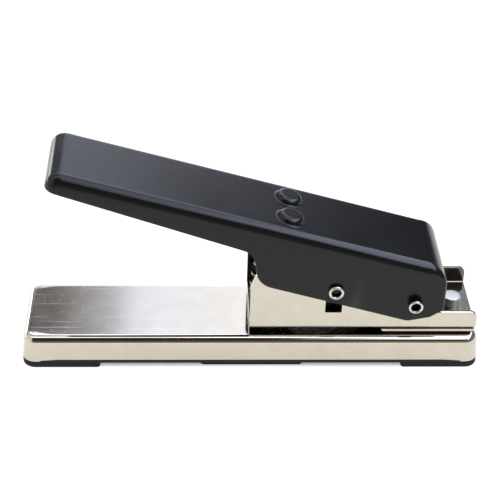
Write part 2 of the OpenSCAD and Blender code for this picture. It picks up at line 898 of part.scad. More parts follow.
// Block that carries the cutter on the pin
module punch_block() {
    color("#8a8b8e")
        difference() {
            translate([pin_mid_x - block_length / 2, -block_width / 2, head_top])
                cube([block_length, block_width, block_top - head_top]);
            translate([pin_front_x - pin_radius - slide_gap, -block_width, pin_z - pin_radius - slide_gap])
                cube([pin_rear_x - pin_front_x + pin_diameter + 2 * slide_gap, 2 * block_width,
                      pin_diameter + 2 * slide_gap]);
            at_punch_screws() {
                post(0, 0, head_top - through, block_top + through, screw_diameter);
                post(0, 0, block_top - screw_head_height, block_top + through, screw_head + head_slack);
            }
        }
}

module punch_screws() {
    color("#5d5d60")
        at_punch_screws() {
            post(0, 0, head_top - screw_bite + head_slack, block_top - screw_head_height,
                 screw_diameter - 2 * seat_gap);
            post(0, 0, block_top - screw_head_height, block_top - head_slack, screw_head);
        }
}

base_tray();
bottom_cover();
foot_front();
foot_middle();
foot_rear();
die_plate();
die_screws();
spacer_shim();
card_stop_plate();
punch_frame();
rear_rivet();
frame_rivets();
pivot_rivet();
pivot_sleeve();
pivot_washers();
spring_posts();
return_spring_near();
return_spring_far();
handle();
punch_pin();
punch_head();
punch_block();
punch_screws();
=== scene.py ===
"""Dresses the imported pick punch: a plated tray, a sprung steel frame and a long black handle.

The solids come in as a fixed frame. Each operator makes one piece, or a group of like pieces, lays
it where its solid is and gives it its finish. The last one sets up the studio and the camera.
"""

import json
import math

import bmesh
import bpy
from bpy.props import FloatProperty, FloatVectorProperty, IntProperty, PointerProperty
from mathutils import Matrix, Vector
from mathutils.geometry import delaunay_2d_cdt


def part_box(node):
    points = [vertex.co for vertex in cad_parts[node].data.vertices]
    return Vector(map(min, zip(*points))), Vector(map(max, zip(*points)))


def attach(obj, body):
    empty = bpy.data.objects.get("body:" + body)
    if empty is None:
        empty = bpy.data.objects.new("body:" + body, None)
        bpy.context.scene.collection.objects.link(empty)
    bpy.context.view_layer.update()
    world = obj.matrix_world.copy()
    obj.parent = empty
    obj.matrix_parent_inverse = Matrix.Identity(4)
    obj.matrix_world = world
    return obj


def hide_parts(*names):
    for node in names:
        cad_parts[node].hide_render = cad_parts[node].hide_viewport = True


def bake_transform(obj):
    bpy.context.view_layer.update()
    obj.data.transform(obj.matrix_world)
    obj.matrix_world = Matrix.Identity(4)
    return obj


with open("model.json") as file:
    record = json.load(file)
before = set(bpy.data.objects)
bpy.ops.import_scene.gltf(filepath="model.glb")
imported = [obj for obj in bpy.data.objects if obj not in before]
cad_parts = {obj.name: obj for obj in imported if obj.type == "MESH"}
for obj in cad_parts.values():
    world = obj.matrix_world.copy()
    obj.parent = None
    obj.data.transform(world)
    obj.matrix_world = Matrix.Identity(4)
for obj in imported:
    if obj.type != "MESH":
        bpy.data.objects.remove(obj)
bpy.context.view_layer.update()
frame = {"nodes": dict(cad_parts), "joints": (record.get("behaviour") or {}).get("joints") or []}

bl_info = {
    "name": "Pick Punch",
    "version": (1, 0, 0),
    "blender": (4, 5, 0),
    "location": "View3D > Sidebar > Pick Punch",
    "description": "Builds the tray, the frame, the springs and the handle of a desk pick punch",
    "category": "Object",
}

MM = 0.001
QUARTER = math.pi / 2

TRAY_LOW, TRAY_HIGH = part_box("base_tray")
COVER_LOW, COVER_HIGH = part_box("bottom_cover")
FRAME_LOW, FRAME_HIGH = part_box("punch_frame")
HEAD_LOW, HEAD_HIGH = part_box("punch_head")
POST_LOW, POST_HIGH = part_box("spring_posts")
PRESS = next(joint for joint in frame["joints"] if joint["name"] == "handle_press")
PIVOT = Vector(PRESS["pos_m"])
REST_LEAN = math.radians(PRESS["range_deg"][1])
RAISED = Matrix.Translation(PIVOT) @ Matrix.Rotation(REST_LEAN, 4, "Y")

SHARP_FROM = math.radians(34)  # edges that turn more than this stay sharp
LEAST_BEND = 0.2 * MM  # least radius on the inside of a bent sheet
SKIRT_STEP = 1.3 * MM  # run of the step in the tray's skirt
SLOT_LOW, SLOT_HIGH = (26.77 * MM, 23.4 * MM), (32.9 * MM, 37.19 * MM)  # pin slot's corners (x, z)


def length(name, description, millimetres):
    """A length property with its default in millimetres."""
    return FloatProperty(name=name, description=description, default=millimetres * MM,
                         min=0.0, unit="LENGTH", subtype="DISTANCE", precision=5)


def paint(name, description, red, green, blue):
    """A colour property."""
    return FloatVectorProperty(name=name, description=description, default=(red, green, blue),
                               size=3, min=0.0, max=1.0, subtype="COLOR")


class PunchSizes(bpy.types.PropertyGroup):
    """Sizes of the pieces that the solids don't give by themselves."""

    tray_sheet: length("Tray sheet", "Thickness of the tray's sheet", 1.2)
    tray_corner: length("Tray corner", "Plan radius of the tray's corners", 5.0)
    tray_edge: length("Tray edge", "Radius of the tray's top edge", 2.8)
    tray_lean: length("Tray lean", "How far the tray's end walls lean out at the bottom", 0.7)
    ear_length: length("Ear length", "Length of the deeper skirt at each end", 7.0)
    ear_drop: length("Ear drop", "How much deeper the skirt is at the ends", 0.9)
    cut_edge: length("Cut edge", "Rounding on the cut edges of the sheets", 0.25)
    foot_edge: length("Foot edge", "Rounding on the edges of the rubber feet", 0.2)
    frame_sheet: length("Frame sheet", "Thickness of the frame's sheet", 1.5)
    frame_bend: length("Frame bend", "Outer radius of the frame's two bends", 2.0)
    handle_sheet: length("Handle sheet", "Thickness of the handle's sheet", 1.2)
    handle_edge: length("Handle edge", "Rounding on the lower edge of the handle's sheet", 0.35)
    handle_half: length("Handle half width", "From the middle to the outside of a wall", 17.0)
    handle_reach: length("Handle reach", "From the pivot to the handle's front end", 141.0)
    handle_tail: length("Handle tail", "From the pivot to the handle's rear end", 11.0)
    handle_rise: length("Handle rise", "From the pivot up to the handle's top", 16.8)
    handle_bend: length("Handle bend", "Radius of the long bends of the handle", 3.6)
    nose_bend: length("Nose bend", "Radius of the bend at the handle's front end", 5.0)
    tail_bend: length("Tail bend", "Radius of the bend at the handle's rear end", 9.5)
    tail_foot: length("Tail foot", "Height over the pivot where the rear wall meets its tail", 1.8)
    nose_corner: length("Nose corner", "Plan radius of the handle's front corners", 4.0)
    tail_corner: length("Tail corner", "Plan radius of the handle's rear corners", 1.3)
    seat_spacing: length("Seat spacing", "Between the middles of the two spring seats", 13.2)
    seat_reach: length("Seat reach", "From the pivot to the spring seats", 52.8)
    seat_base: length("Seat base", "Diameter of a spring seat at the handle's top", 10.6)
    seat_top: length("Seat top", "Diameter of a spring seat's top before it is rounded", 8.4)
    seat_height: length("Seat height", "Height of a spring seat over the handle's top", 2.0)
    wire: length("Spring wire", "Diameter of the spring wire", 1.0)
    coil: length("Coil", "Mean diameter of the spring coils", 6.0)
    turns: IntProperty(name="Spring turns", description="Turns of each return spring",
                       default=11, min=4)
    tube: length("Tube", "Outer diameter of the two tubular pins", 5.2)
    tube_bore: length("Tube bore", "Bore of the two tubular pins", 3.5)
    pivot_lip: length("Pivot lip", "Outer diameter of the pivot tube's flared ends", 5.4)
    pin_lip: length("Pin lip", "Outer diameter of the punch pin's flared ends", 5.7)


class PunchColours(bpy.types.PropertyGroup):
    """Colours of the finishes."""

    nickel: paint("Nickel", "Nickel plating of the tray and the frame", 0.60, 0.555, 0.465)
    enamel: paint("Enamel", "Black enamel of the handle", 0.003, 0.003, 0.0035)
    rubber: paint("Rubber", "Rubber of the feet", 0.010, 0.010, 0.010)
    cover: paint("Cover", "Moulded cover under the tray", 0.010, 0.010, 0.010)
    # Partly the ground steel's own colour, partly painted shade for the die and the punch under the
    # frame.
    tool_steel: paint("Tool steel", "Ground punch and die", 0.20, 0.19, 0.18)
    zinc: paint("Zinc", "Zinc on the small fittings", 0.55, 0.54, 0.52)
    # The spacer's dark colour is partly its blackened finish, partly painted shade for the shadowed
    # gap under the card stop.
    blackened: paint("Blackened steel", "Blackened screws, and spacer darkened as painted shade", 0.055, 0.050, 0.045)
    spring: paint("Spring wire", "Drawn spring wire", 0.22, 0.21, 0.19)
    # Painted shade: a dark colour that stands in for the shade on the inner faces of the frame's
    # cheeks and in the tubes' bores.
    dull: paint("Dull plate", "Painted shade inside the frame and the tubes",
                0.15, 0.135, 0.11)
    rivet: paint("Rivet", "Plated rivets and pins", 0.68, 0.65, 0.60)
    stud: paint("Stud", "Pale zinc on the stud at the frame's rear end", 0.45, 0.445, 0.39)
    floor: paint("Floor", "Studio floor", 0.90, 0.90, 0.90)
    sky: paint("Window light", "Cool light of the windows", 0.74, 0.81, 1.0)


def sizes():
    return bpy.context.scene.punch_sizes


def colours():
    return bpy.context.scene.punch_colours


def sweep(start, end, steps):
    """Even values from a start to an end, with both."""
    return [start + (end - start) * k / steps for k in range(steps + 1)]


def polar(angle, radius=1.0):
    """Point at an angle from X and a radius from the middle."""
    return Vector((math.cos(angle), math.sin(angle))) * radius


def circle(middle, across, aside, radius, count=48):
    """Points of a circle in the plane of two directions."""
    turns = [polar(math.tau * k / count, radius) for k in range(count)]
    return [middle + across * turn.x + aside * turn.y for turn in turns]


def soft_path(corners, closed=False, step=math.radians(7.5)):
    """Points of a path through corners (x, y, radius), each corner turned at its radius."""
    points = []
    count = len(corners)
    for i, (x, y, radius) in enumerate(corners):
        here = Vector((x, y))
        if radius <= 0 or (not closed and i in (0, count - 1)):
            points.append(here)
            continue
        back = (Vector(corners[i - 1][:2]) - here).normalized()
        ahead = (Vector(corners[(i + 1) % count][:2]) - here).normalized()
        half = back.angle(ahead) / 2
        centre = here + (back + ahead).normalized() * (radius / math.sin(half))
        start, end = (here + way * (radius / math.tan(half)) - centre for way in (back, ahead))
        turn = math.copysign(math.pi - 2 * half, start.cross(end))
        steps = max(2, math.ceil(abs(turn) / step))
        points += [centre + Matrix.Rotation(a, 2) @ start for a in sweep(0, turn, steps)]
    return points


def soft_box(x0, x1, half, radius):
    """Rounded rectangle about the middle line."""
    corners = ((x0, -half), (x1, -half), (x1, half), (x0, half))
    return soft_path([(x, y, radius) for x, y in corners], True)


def quarter_round(edge, steps):
    """(inset, rise) of the rings round an edge with a radius, from the flat to the wall."""
    return [(edge * (1 - math.sin(a)), edge * (1 - math.cos(a))) for a in sweep(0, QUARTER, steps)]


def cut_rim(sheet, edge):
    """(share of the sheet, height) of the rings round its cut edge, from outside to inside."""
    outside = quarter_round(edge, 2)[::-1]
    levels = outside + [(sheet - across, height) for across, height in reversed(outside)]
    return [(across / sheet, height) for across, height in levels]


def wound(loop, clockwise):
    """The loop with its points in the order asked for."""
    area = sum(a.cross(b) for a, b in zip(loop, loop[1:] + loop[:1]))
    return list(reversed(loop)) if (area < 0) != clockwise else list(loop)


def drawn_in(loop, distance):
    """The loop moved to its left by a distance, each point along its mitre."""
    moved = []
    for i, here in enumerate(loop):
        a = (here - loop[i - 1]).normalized()
        b = (loop[(i + 1) % len(loop)] - here).normalized()
        left_a, left_b = Vector((-a.y, a.x)), Vector((-b.y, b.x))
        moved.append(here + (left_a + left_b) * (distance / (1 + left_a.dot(left_b))))
    return moved


def ring(bm, points):
    """One vertex for each point."""
    return [bm.verts.new(point) for point in points]


def skin(bm, rings):
    """Faces between neighbouring rings of equally many vertices."""
    for low, high in zip(rings, rings[1:]):
        for i in range(len(low)):
            j = (i + 1) % len(low)
            bm.faces.new((low[i], low[j], high[j], high[i]))


def within(point, loops):
    """True where a point lies inside the first loop and outside the others."""
    inside = False
    for loop in loops:
        for a, b in zip(loop, loop[1:] + loop[:1]):
            if (a.y > point.y) != (b.y > point.y):
                if point.x < a.x + (b.x - a.x) * (point.y - a.y) / (b.y - a.y):
                    inside = not inside
    return inside


def fill(bm, loops, folds=()):
    """Closes a flat area between loops of (points, vertices), with an edge along each fold line."""
    outlines = [[point / MM for point in points] for points, _ in loops]
    flat = [point for outline in outlines for point in outline]
    verts = [vert for _, verts in loops for vert in verts]
    edges = []
    for outline in outlines:
        start = len(edges)
        edges += [(start + i, start + (i + 1) % len(outline)) for i in range(len(outline))]
    for fold in folds:
        on_fold = [i for i, point in enumerate(outlines[0]) if abs(point.y - fold / MM) < 1e-4]
        edges.append(tuple(on_fold))
    _, _, faces, sources, _, _ = delaunay_2d_cdt(flat, edges, [], 0, 1e-6)
    for face in faces:
        corners = [sources[i][0] for i in face]
        middle = sum((flat[i] for i in corners), Vector((0, 0))) / 3
        if within(middle, outlines):
            bm.faces.new([verts[i] for i in corners])


def level(x, y, z):
    """Place of a point of a plate that lies level."""
    return Vector((x, y, z))


def layers(bm, loop, levels, place=level):
    """Skins rings of a loop drawn in to each (inset, height); returns their (points, vertices)."""
    stack = []
    for inset, height in levels:
        flat = drawn_in(loop, inset)
        stack.append((flat, ring(bm, [place(p.x, p.y, height) for p in flat])))
    skin(bm, [verts for _, verts in stack])
    return stack


def plate(bm, outlines, low, high, edge, place=level, folds=(), hole_edge=0.0):
    """A plate with rounded edges: its outlines are the outer loop and then the holes."""
    stacks = []
    for n, outline in enumerate(outlines):
        below = [(inset, low + rise) for inset, rise in quarter_round(hole_edge if n else edge, 3)]
        above = [(inset, low + high - height) for inset, height in reversed(below)]
        stacks.append(layers(bm, wound(outline, n > 0), below + above, place))
    for end in (0, -1):
        fill(bm, [stack[end] for stack in stacks], folds)


def spun(bm, profile, centre, axis, count=48, closed=False):
    """A profile of (radius, distance along the axis) turned about the axis; returns its rings."""
    axis = Vector(axis)
    across = axis.orthogonal().normalized()
    aside = axis.cross(across)
    rings = []
    for radius, along in profile:
        middle = Vector(centre) + axis * along
        pole = radius < 1e-7
        rings.append(ring(bm, [middle] if pole else circle(middle, across, aside, radius, count)))
    pairs = list(zip(rings, rings[1:])) + ([(rings[-1], rings[0])] if closed else [])
    for low, high in pairs:
        if len(low) > 1 and len(high) > 1:
            skin(bm, [low, high])
        else:
            pole, rim = (low[0], high) if len(low) == 1 else (high[0], low)
            for k in range(count):
                bm.faces.new((pole, rim[k], rim[(k + 1) % count]))
    return rings


def make_piece(name, bm, material, body, slot, *nodes):
    """Turns a bmesh into a piece that rides on a body and stands for its CAD nodes."""
    bmesh.ops.recalc_face_normals(bm, faces=bm.faces)
    mesh = bpy.data.meshes.new(name)
    bm.to_mesh(mesh)
    bm.free()
    mesh.shade_smooth()
    mesh.set_sharp_from_angle(angle=SHARP_FROM)
    mesh.materials.append(material)
    piece = bpy.data.objects.new(name, mesh)
    bpy.context.scene.collection.objects.link(piece)
    if body:
        flats = piece.modifiers.new("Level flats", "WEIGHTED_NORMAL")
        flats.keep_sharp = True
        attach(piece, body)
    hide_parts(*nodes)
    return piece


def make_plate(name, node, outline, edge, material, slot):
    """A level plate with rounded edges as high as its CAD node."""
    low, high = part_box(node)
    bm = bmesh.new()
    plate(bm, [outline], low.z, high.z, edge)
    make_piece(name, bm, material, "base", slot, node)


def add_node(tree, kind, inputs=None, **settings):
    """A node with its settings, and its inputs set or linked."""
    node = tree.nodes.new(kind)
    for key, value in settings.items():
        setattr(node, key, value)
    for key, value in (inputs or {}).items():
        if isinstance(value, bpy.types.NodeSocket):
            tree.links.new(value, node.inputs[key])
        else:
            node.inputs[key].default_value = value
    return node


def maths(tree, operation, *values, **settings):
    """Output of a Math node over numbers and sockets."""
    inputs = dict(enumerate(values))
    return add_node(tree, "ShaderNodeMath", inputs, operation=operation, **settings).outputs[0]


def ranged(tree, value, start, end, low=0.0, high=1.0, **settings):
    """Output of a Map Range node, which takes start to low and end to high."""
    inputs = {"Value": value, "From Min": start, "From Max": end, "To Min": low, "To Max": high}
    return add_node(tree, "ShaderNodeMapRange", inputs, **settings).outputs["Result"]


def on_object(tree):
    """Place on the object."""
    return add_node(tree, "ShaderNodeTexCoord").outputs["Object"]


def axes(tree):
    """X, Y and Z of the place on the object."""
    return add_node(tree, "ShaderNodeSeparateXYZ", {"Vector": on_object(tree)}).outputs


def noise(tree, place, scale, **inputs):
    """Value of a noise texture."""
    inputs = {"Vector": place, "Scale": scale, **inputs}
    return add_node(tree, "ShaderNodeTexNoise", inputs).outputs["Fac"]


def draw_haze(tree, given):
    """Cloudy handling marks as a value between two limits."""
    cloud = noise(tree, on_object(tree), given["Scale"], Detail=4.0, Roughness=0.6)
    return ranged(tree, cloud, 0.32, 0.68, given["Least"], given["Most"])


def draw_hairlines(tree, given):
    """Fine straight scratches in two directions."""
    lines = []
    for turn, stretch in ((0.35, 28.0), (-0.9, 36.0)):
        turned = add_node(tree, "ShaderNodeMapping", {
            "Vector": on_object(tree), "Rotation": (0.0, 0.0, turn), "Scale": (1.0, stretch, 1.0)})
        lines.append(noise(tree, turned.outputs["Vector"], given["Scale"], Detail=2.0))
    limit = maths(tree, "SUBTRACT", 0.86, given["Share"])
    full = maths(tree, "ADD", limit, 0.08)
    strongest = maths(tree, "MAXIMUM", *lines)
    return ranged(tree, strongest, limit, full, interpolation_type="SMOOTHSTEP")


def draw_specks(tree, given):
    """Scattered specks of dust."""
    place = {"Vector": on_object(tree), "Scale": given["Scale"]}
    cells = add_node(tree, "ShaderNodeTexVoronoi", place).outputs
    chance = add_node(tree, "ShaderNodeSeparateColor", {"Color": cells["Color"]}).outputs[0]
    kept = maths(tree, "LESS_THAN", chance, given["Share"])
    return maths(tree, "MULTIPLY", kept, ranged(tree, cells["Distance"], 0.24, 0.10))


def draw_grain(tree, given):
    """Fine grain as a height."""
    return noise(tree, on_object(tree), given["Scale"], Detail=given["Detail"])


# Mask of the painted shade on inner faces.
def draw_inner_faces(tree, given):
    """One where the distance from the middle line lies between two limits, else zero."""
    aside = maths(tree, "ABSOLUTE", axes(tree)["Y"])
    past = maths(tree, "SUBTRACT", aside, given["Inner"])
    left = maths(tree, "SUBTRACT", given["Outer"], aside)
    return ranged(tree, maths(tree, "MINIMUM", past, left), 0.0, 0.2 * MM)


GROUPS = {
    "Handling haze": (draw_haze, "Value", {"Scale": 60.0, "Least": 0.1, "Most": 0.2}),
    "Hairlines": (draw_hairlines, "Mask", {"Scale": 30.0, "Share": 0.3}),
    "Specks": (draw_specks, "Mask", {"Scale": 300.0, "Share": 0.1}),
    "Grain": (draw_grain, "Height", {"Scale": 800.0, "Detail": 3.0}),
    "Inner faces": (draw_inner_faces, "Mask", {"Inner": 0.01, "Outer": 0.011}),
}


def shared_group(name):
    """A shader node group by name, built the first time that it is asked for."""
    if name in bpy.data.node_groups:
        return bpy.data.node_groups[name]
    draw, output, inputs = GROUPS[name]
    tree = bpy.data.node_groups.new(name, "ShaderNodeTree")
    kind = "NodeSocketFloat"
    for label, default in inputs.items():
        socket = tree.interface.new_socket(name=label, in_out="INPUT", socket_type=kind)
        socket.default_value = default
    tree.interface.new_socket(name=output, in_out="OUTPUT", socket_type=kind)
    result = draw(tree, tree.nodes.new("NodeGroupInput").outputs)
    tree.links.new(result, tree.nodes.new("NodeGroupOutput").inputs[output])
    return tree


def effect(tree, name, **inputs):
    """Output of a shared node group, placed in a material with its own values."""
    return add_node(tree, "ShaderNodeGroup", inputs, node_tree=shared_group(name)).outputs[0]


def rgba(colour, factor=1.0):
    return (*[min(channel * factor, 1.0) for channel in colour], 1.0)


def tint(tree, mask, colour, other):
    """A colour, fixed or from a socket, that goes over to a fixed one where a mask says so."""
    mix = add_node(tree, "ShaderNodeMix", data_type="RGBA")
    ends = {socket.name: socket for socket in mix.inputs if socket.type == "RGBA"}
    if isinstance(colour, bpy.types.NodeSocket):
        tree.links.new(colour, ends["A"])
    else:
        ends["A"].default_value = colour
    ends["B"].default_value = other
    tree.links.new(mask, mix.inputs["Factor"])
    return next(socket for socket in mix.outputs if socket.type == "RGBA")


def blank(name):
    """A material without nodes but its output; returns it, its tree and its surface input."""
    material = bpy.data.materials.new(name)
    material.use_nodes = True
    tree = material.node_tree
    tree.nodes.clear()
    return material, tree, tree.nodes.new("ShaderNodeOutputMaterial").inputs["Surface"]


def new_finish(name, **constants):
    """A material with one Principled shader; returns it, its tree and its shader."""
    material, tree, surface = blank(name)
    shader = add_node(tree, "ShaderNodeBsdfPrincipled", constants)
    tree.links.new(shader.outputs["BSDF"], surface)
    return material, tree, shader


def dress(tree, shader, shade, rough, height, depth, strength):
    """Links the colour, the roughness and a bump of a depth to a shader."""
    bump = add_node(tree, "ShaderNodeBump",
                    {"Height": height, "Distance": depth, "Strength": strength})
    for socket, name in ((shade, "Base Color"), (rough, "Roughness"),
                         (bump.outputs["Normal"], "Normal")):
        tree.links.new(socket, shader.inputs[name])


def plated(name, colour, least, most, scratches, specks, dull=None):
    """Polished plate with haze, hairlines and dust; painted shade between two distances from the
    middle.
    """
    material, tree, shader = new_finish(name, Metallic=1.0)
    stain = effect(tree, "Handling haze", Scale=130.0, Least=0.0, Most=1.0)
    shade = tint(tree, stain, rgba(colour, 0.93), rgba(colour))
    marks = [(effect(tree, "Hairlines", Scale=24.0, Share=scratches), 0.06),
             (effect(tree, "Specks", Scale=1100.0, Share=specks), 0.25)]
    # Painted shade: the colour goes over to the dark shade colour between the two distances, which
    # are a little rougher too.
    if dull:
        mask = effect(tree, "Inner faces", Inner=dull[0], Outer=dull[1])
        shade = tint(tree, mask, shade, rgba(colours().dull))
        marks.append((mask, 0.02))
    rough = effect(tree, "Handling haze", Scale=45.0, Least=least, Most=most)
    for mask, rougher in marks:
        rough = maths(tree, "MULTIPLY_ADD", mask, rougher, rough)
    wave = effect(tree, "Grain", Scale=160.0, Detail=2.0)
    dress(tree, shader, shade, rough, wave, depth=0.04 * MM, strength=0.25)
    return material


def enamelled(name, colour):
    """Satin black enamel with a faint orange peel and dust."""
    material, tree, shader = new_finish(name, IOR=1.36)
    dust = effect(tree, "Specks", Scale=620.0, Share=0.008)
    shade = tint(tree, dust, rgba(colour), (0.03, 0.03, 0.033, 1.0))
    rough = effect(tree, "Handling haze", Scale=38.0, Least=0.17, Most=0.22)
    peel = effect(tree, "Grain", Scale=420.0, Detail=1.0)
    dress(tree, shader, shade, rough, peel, depth=0.03 * MM, strength=0.3)
    return material


def moulded(name, colour, least, most, grain):
    """Matt moulded rubber or plastic."""
    material, tree, shader = new_finish(name, IOR=1.32)
    dust = effect(tree, "Specks", Scale=500.0, Share=0.06)
    shade = tint(tree, dust, rgba(colour), rgba(colour, 3.0))
    rough = effect(tree, "Handling haze", Scale=70.0, Least=least, Most=most)
    height = effect(tree, "Grain", Scale=grain, Detail=3.0)
    dress(tree, shader, shade, rough, height, depth=0.1 * MM, strength=0.5)
    return material


def machined(name, colour, least, most, streak):
    """Ground or drawn steel with streaks that are darker or lighter."""
    material, tree, shader = new_finish(name, Metallic=1.0)
    lines = effect(tree, "Hairlines", Scale=60.0, Share=0.34)
    shade = tint(tree, lines, rgba(colour), rgba(colour, streak))
    rough = effect(tree, "Handling haze", Scale=120.0, Least=least, Most=most)
    height = effect(tree, "Grain", Scale=1200.0, Detail=2.0)
    dress(tree, shader, shade, rough, height, depth=0.03 * MM, strength=0.3)
    return material


RIVET_PLATE = (plated, "rivet", dict(least=0.20, most=0.32, scratches=0.22, specks=0.02))
FINISHES = {
    "Tray nickel": (plated, "nickel", dict(least=0.05, most=0.10, scratches=0.22, specks=0.12)),
    "Frame nickel": (plated, "nickel", dict(least=0.08, most=0.15, scratches=0.14, specks=0.03)),
    "Rivet plate": RIVET_PLATE,
    "pivot_tube plate": RIVET_PLATE,
    "punch_tube plate": RIVET_PLATE,
    "Black enamel": (enamelled, "enamel", {}),
    "Foot rubber": (moulded, "rubber", dict(least=0.62, most=0.8, grain=900.0)),
    "Cover plastic": (moulded, "cover", dict(least=0.5, most=0.65, grain=1400.0)),
    "Tool steel": (machined, "tool_steel", dict(least=0.38, most=0.5, streak=0.75)),
    "Zinc plate": (machined, "zinc", dict(least=0.28, most=0.42, streak=0.85)),
    "Blackened steel": (machined, "blackened", dict(least=0.35, most=0.5, streak=1.6)),
    "Stud zinc": (machined, "stud", dict(least=0.34, most=0.46, streak=0.9)),
    "Spring wire": (machined, "spring", dict(least=0.2, most=0.32, streak=0.7)),
}


def finish(name, **more):
    """A finish by name, made the first time that it is asked for."""
    if name in bpy.data.materials:
        return bpy.data.materials[name]
    make, colour, values = FINISHES[name]
    return make(name, getattr(colours(), colour), **values, **more)


def frame_finish():
    """The frame's plate, with painted shade on the inner faces of its cheeks."""
    sheet = sizes().frame_sheet
    # Painted shade on the inner faces of the cheeks.
    return finish("Frame nickel", dull=(FRAME_HIGH.y - 1.2 * sheet, FRAME_HIGH.y - 0.6 * sheet))


def pick_outline(grow):
    """Outline of the pick between its rounded back and its tip, made larger by a margin."""
    shoulder_radius, tip_radius, back_radius, side_radius = 8.5 * MM, 4 * MM, 30 * MM, 45 * MM
    shoulder_y = HEAD_HIGH.y - shoulder_radius
    back = Vector((HEAD_LOW.x + back_radius, 0.0))
    shoulder_x = back.x - math.sqrt((back_radius - shoulder_radius) ** 2 - shoulder_y ** 2)
    shoulder, tip = Vector((shoulder_x, shoulder_y)), Vector((HEAD_HIGH.x - tip_radius, 0.0))
    a, b = side_radius - shoulder_radius, side_radius - tip_radius
    gap = (tip - shoulder).length
    along = (gap * gap + a * a - b * b) / (2 * gap)
    way = (tip - shoulder) / gap
    aside = Vector((way.y, -way.x)) * math.sqrt(a * a - along * along)
    side = shoulder + way * along + aside

    def arc(centre, radius, start, end, steps):
        return [centre + polar(a, radius + grow) for a in sweep(start, end, steps)][1:]

    tip_turn, side_turn, back_turn = (
        math.atan2(to.y - centre.y, to.x - centre.x)
        for to, centre in ((tip, side), (shoulder, side), (shoulder, back)))
    upper = arc(tip, tip_radius, 0.0, tip_turn, 10)
    upper += arc(side, side_radius, tip_turn, side_turn, 14)
    upper += arc(shoulder, shoulder_radius, side_turn, back_turn, 14)
    upper += arc(back, back_radius, back_turn, math.pi, 8)
    first = Vector((HEAD_HIGH.x + grow, 0.0))
    return [first] + upper + [Vector((p.x, -p.y)) for p in reversed(upper[:-1])]


def tray_flare():
    """How much longer the tray is at its lower edge than at its top, as a factor."""
    return TRAY_HIGH.x / (TRAY_HIGH.x - sizes().tray_lean)


def skirt_low(x):
    """Height of the tray's lower edge, which steps down at both ends."""
    s = sizes()
    share = (abs(x) - (TRAY_HIGH.x - s.ear_length) + SKIRT_STEP / 2) / SKIRT_STEP
    share = min(max(share, 0.0), 1.0)
    return TRAY_LOW.z + s.ear_drop * (1 - share * share * (3 - 2 * share))


def tray_shares():
    """Places along the tray's straight sides as shares of half their run, closer at the steps."""
    s = sizes()
    ear = TRAY_HIGH.x - s.ear_length
    step = sweep(ear - SKIRT_STEP / 2, ear + SKIRT_STEP / 2, 8)
    middle = [ear * k / 12 for k in range(-11, 12)]
    run = TRAY_HIGH.x - s.tray_lean - s.tray_corner
    shares = [x / run for x in [-x for x in reversed(step)] + middle + step]
    return [share for share in shares if abs(share) < 1 - 2e-4]


def tray_loop(inset, turn=0.0, steps=10):
    """Points round the tray, in from its outside, where its bend has turned from wall to top."""
    s = sizes()
    bend, corner = (max(radius - inset, LEAST_BEND) for radius in (s.tray_edge, s.tray_corner))
    across = 1 - math.cos(turn)
    crown = max(corner - bend, 0.4 * corner)
    radius = corner - (corner - crown) * across
    x = TRAY_HIGH.x - s.tray_lean - inset - bend * across - radius
    y = TRAY_HIGH.y - inset - bend * across - radius
    points = [Vector((x * share, -y - radius)) for share in tray_shares()]
    for middle, start in ((-y, -QUARTER), (y, 0.0)):
        points += [Vector((x, middle)) + polar(a, radius)
                   for a in sweep(start, start + QUARTER, steps)]
    points += [-point for point in points]
    height = TRAY_HIGH.z - inset - bend * (1 - math.sin(turn))
    return [Vector((*point, height)) for point in points]


class PUNCH_OT_tray(bpy.types.Operator):
    """Draws the plated tray with its deeper ends and the rounded rim of its opening"""

    bl_idname = "punch.tray"
    bl_label = "Tray"

    def execute(self, context):
        bm = bmesh.new()
        top, under = self.sheet(bm)
        face, back = TRAY_HIGH.z, TRAY_HIGH.z - sizes().tray_sheet
        margin, rim = 1.7 * MM, 0.5 * MM
        levels = [(inset, face - drop) for inset, drop in quarter_round(rim, 6)] + [(0.0, back)]
        holes = [layers(bm, wound(pick_outline(margin), True), levels)]
        screw_low, screw_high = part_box("die_screws")
        screw_x = (screw_low.x + screw_high.x) / 2
        head, bore, countersink, play = 3.1 * MM, 1.85 * MM, 1.3 * MM, 0.1 * MM
        for y in (screw_low.y + head, screw_high.y - head):
            cone = circle(Vector((screw_x, y)), Vector((1, 0)), Vector((0, 1)), bore)
            holes.append(layers(bm, wound(cone, True), [(countersink, face), (play, back)]))
        fill(bm, [top] + [hole[0] for hole in holes])
        fill(bm, [under] + [hole[-1] for hole in holes])
        make_piece("tray", bm, finish("Tray nickel"), "base", "plated_tray", "base_tray")
        return {"FINISHED"}

    @staticmethod
    def sheet(bm):
        """Both faces of the sheet, longer below, and its lower edge; returns the two top loops."""
        s = sizes()
        flare = tray_flare()
        turns = sweep(0, QUARTER, 9)
        outer = [tray_loop(0.0, turn) for turn in turns]
        inner = [tray_loop(s.tray_sheet, turn) for turn in turns]
        rim = []
        for share, height in cut_rim(s.tray_sheet, s.cut_edge):
            between = [(a.x * flare, a.lerp(b, share)) for a, b in zip(outer[0], inner[0])]
            rim.append([Vector((p.x * flare, p.y, skirt_low(x) + height)) for x, p in between])
        loops = outer[::-1] + rim + inner
        rings = [ring(bm, loop) for loop in loops]
        skin(bm, rings)
        return [([p.xy for p in loops[end]], rings[end]) for end in (0, -1)]


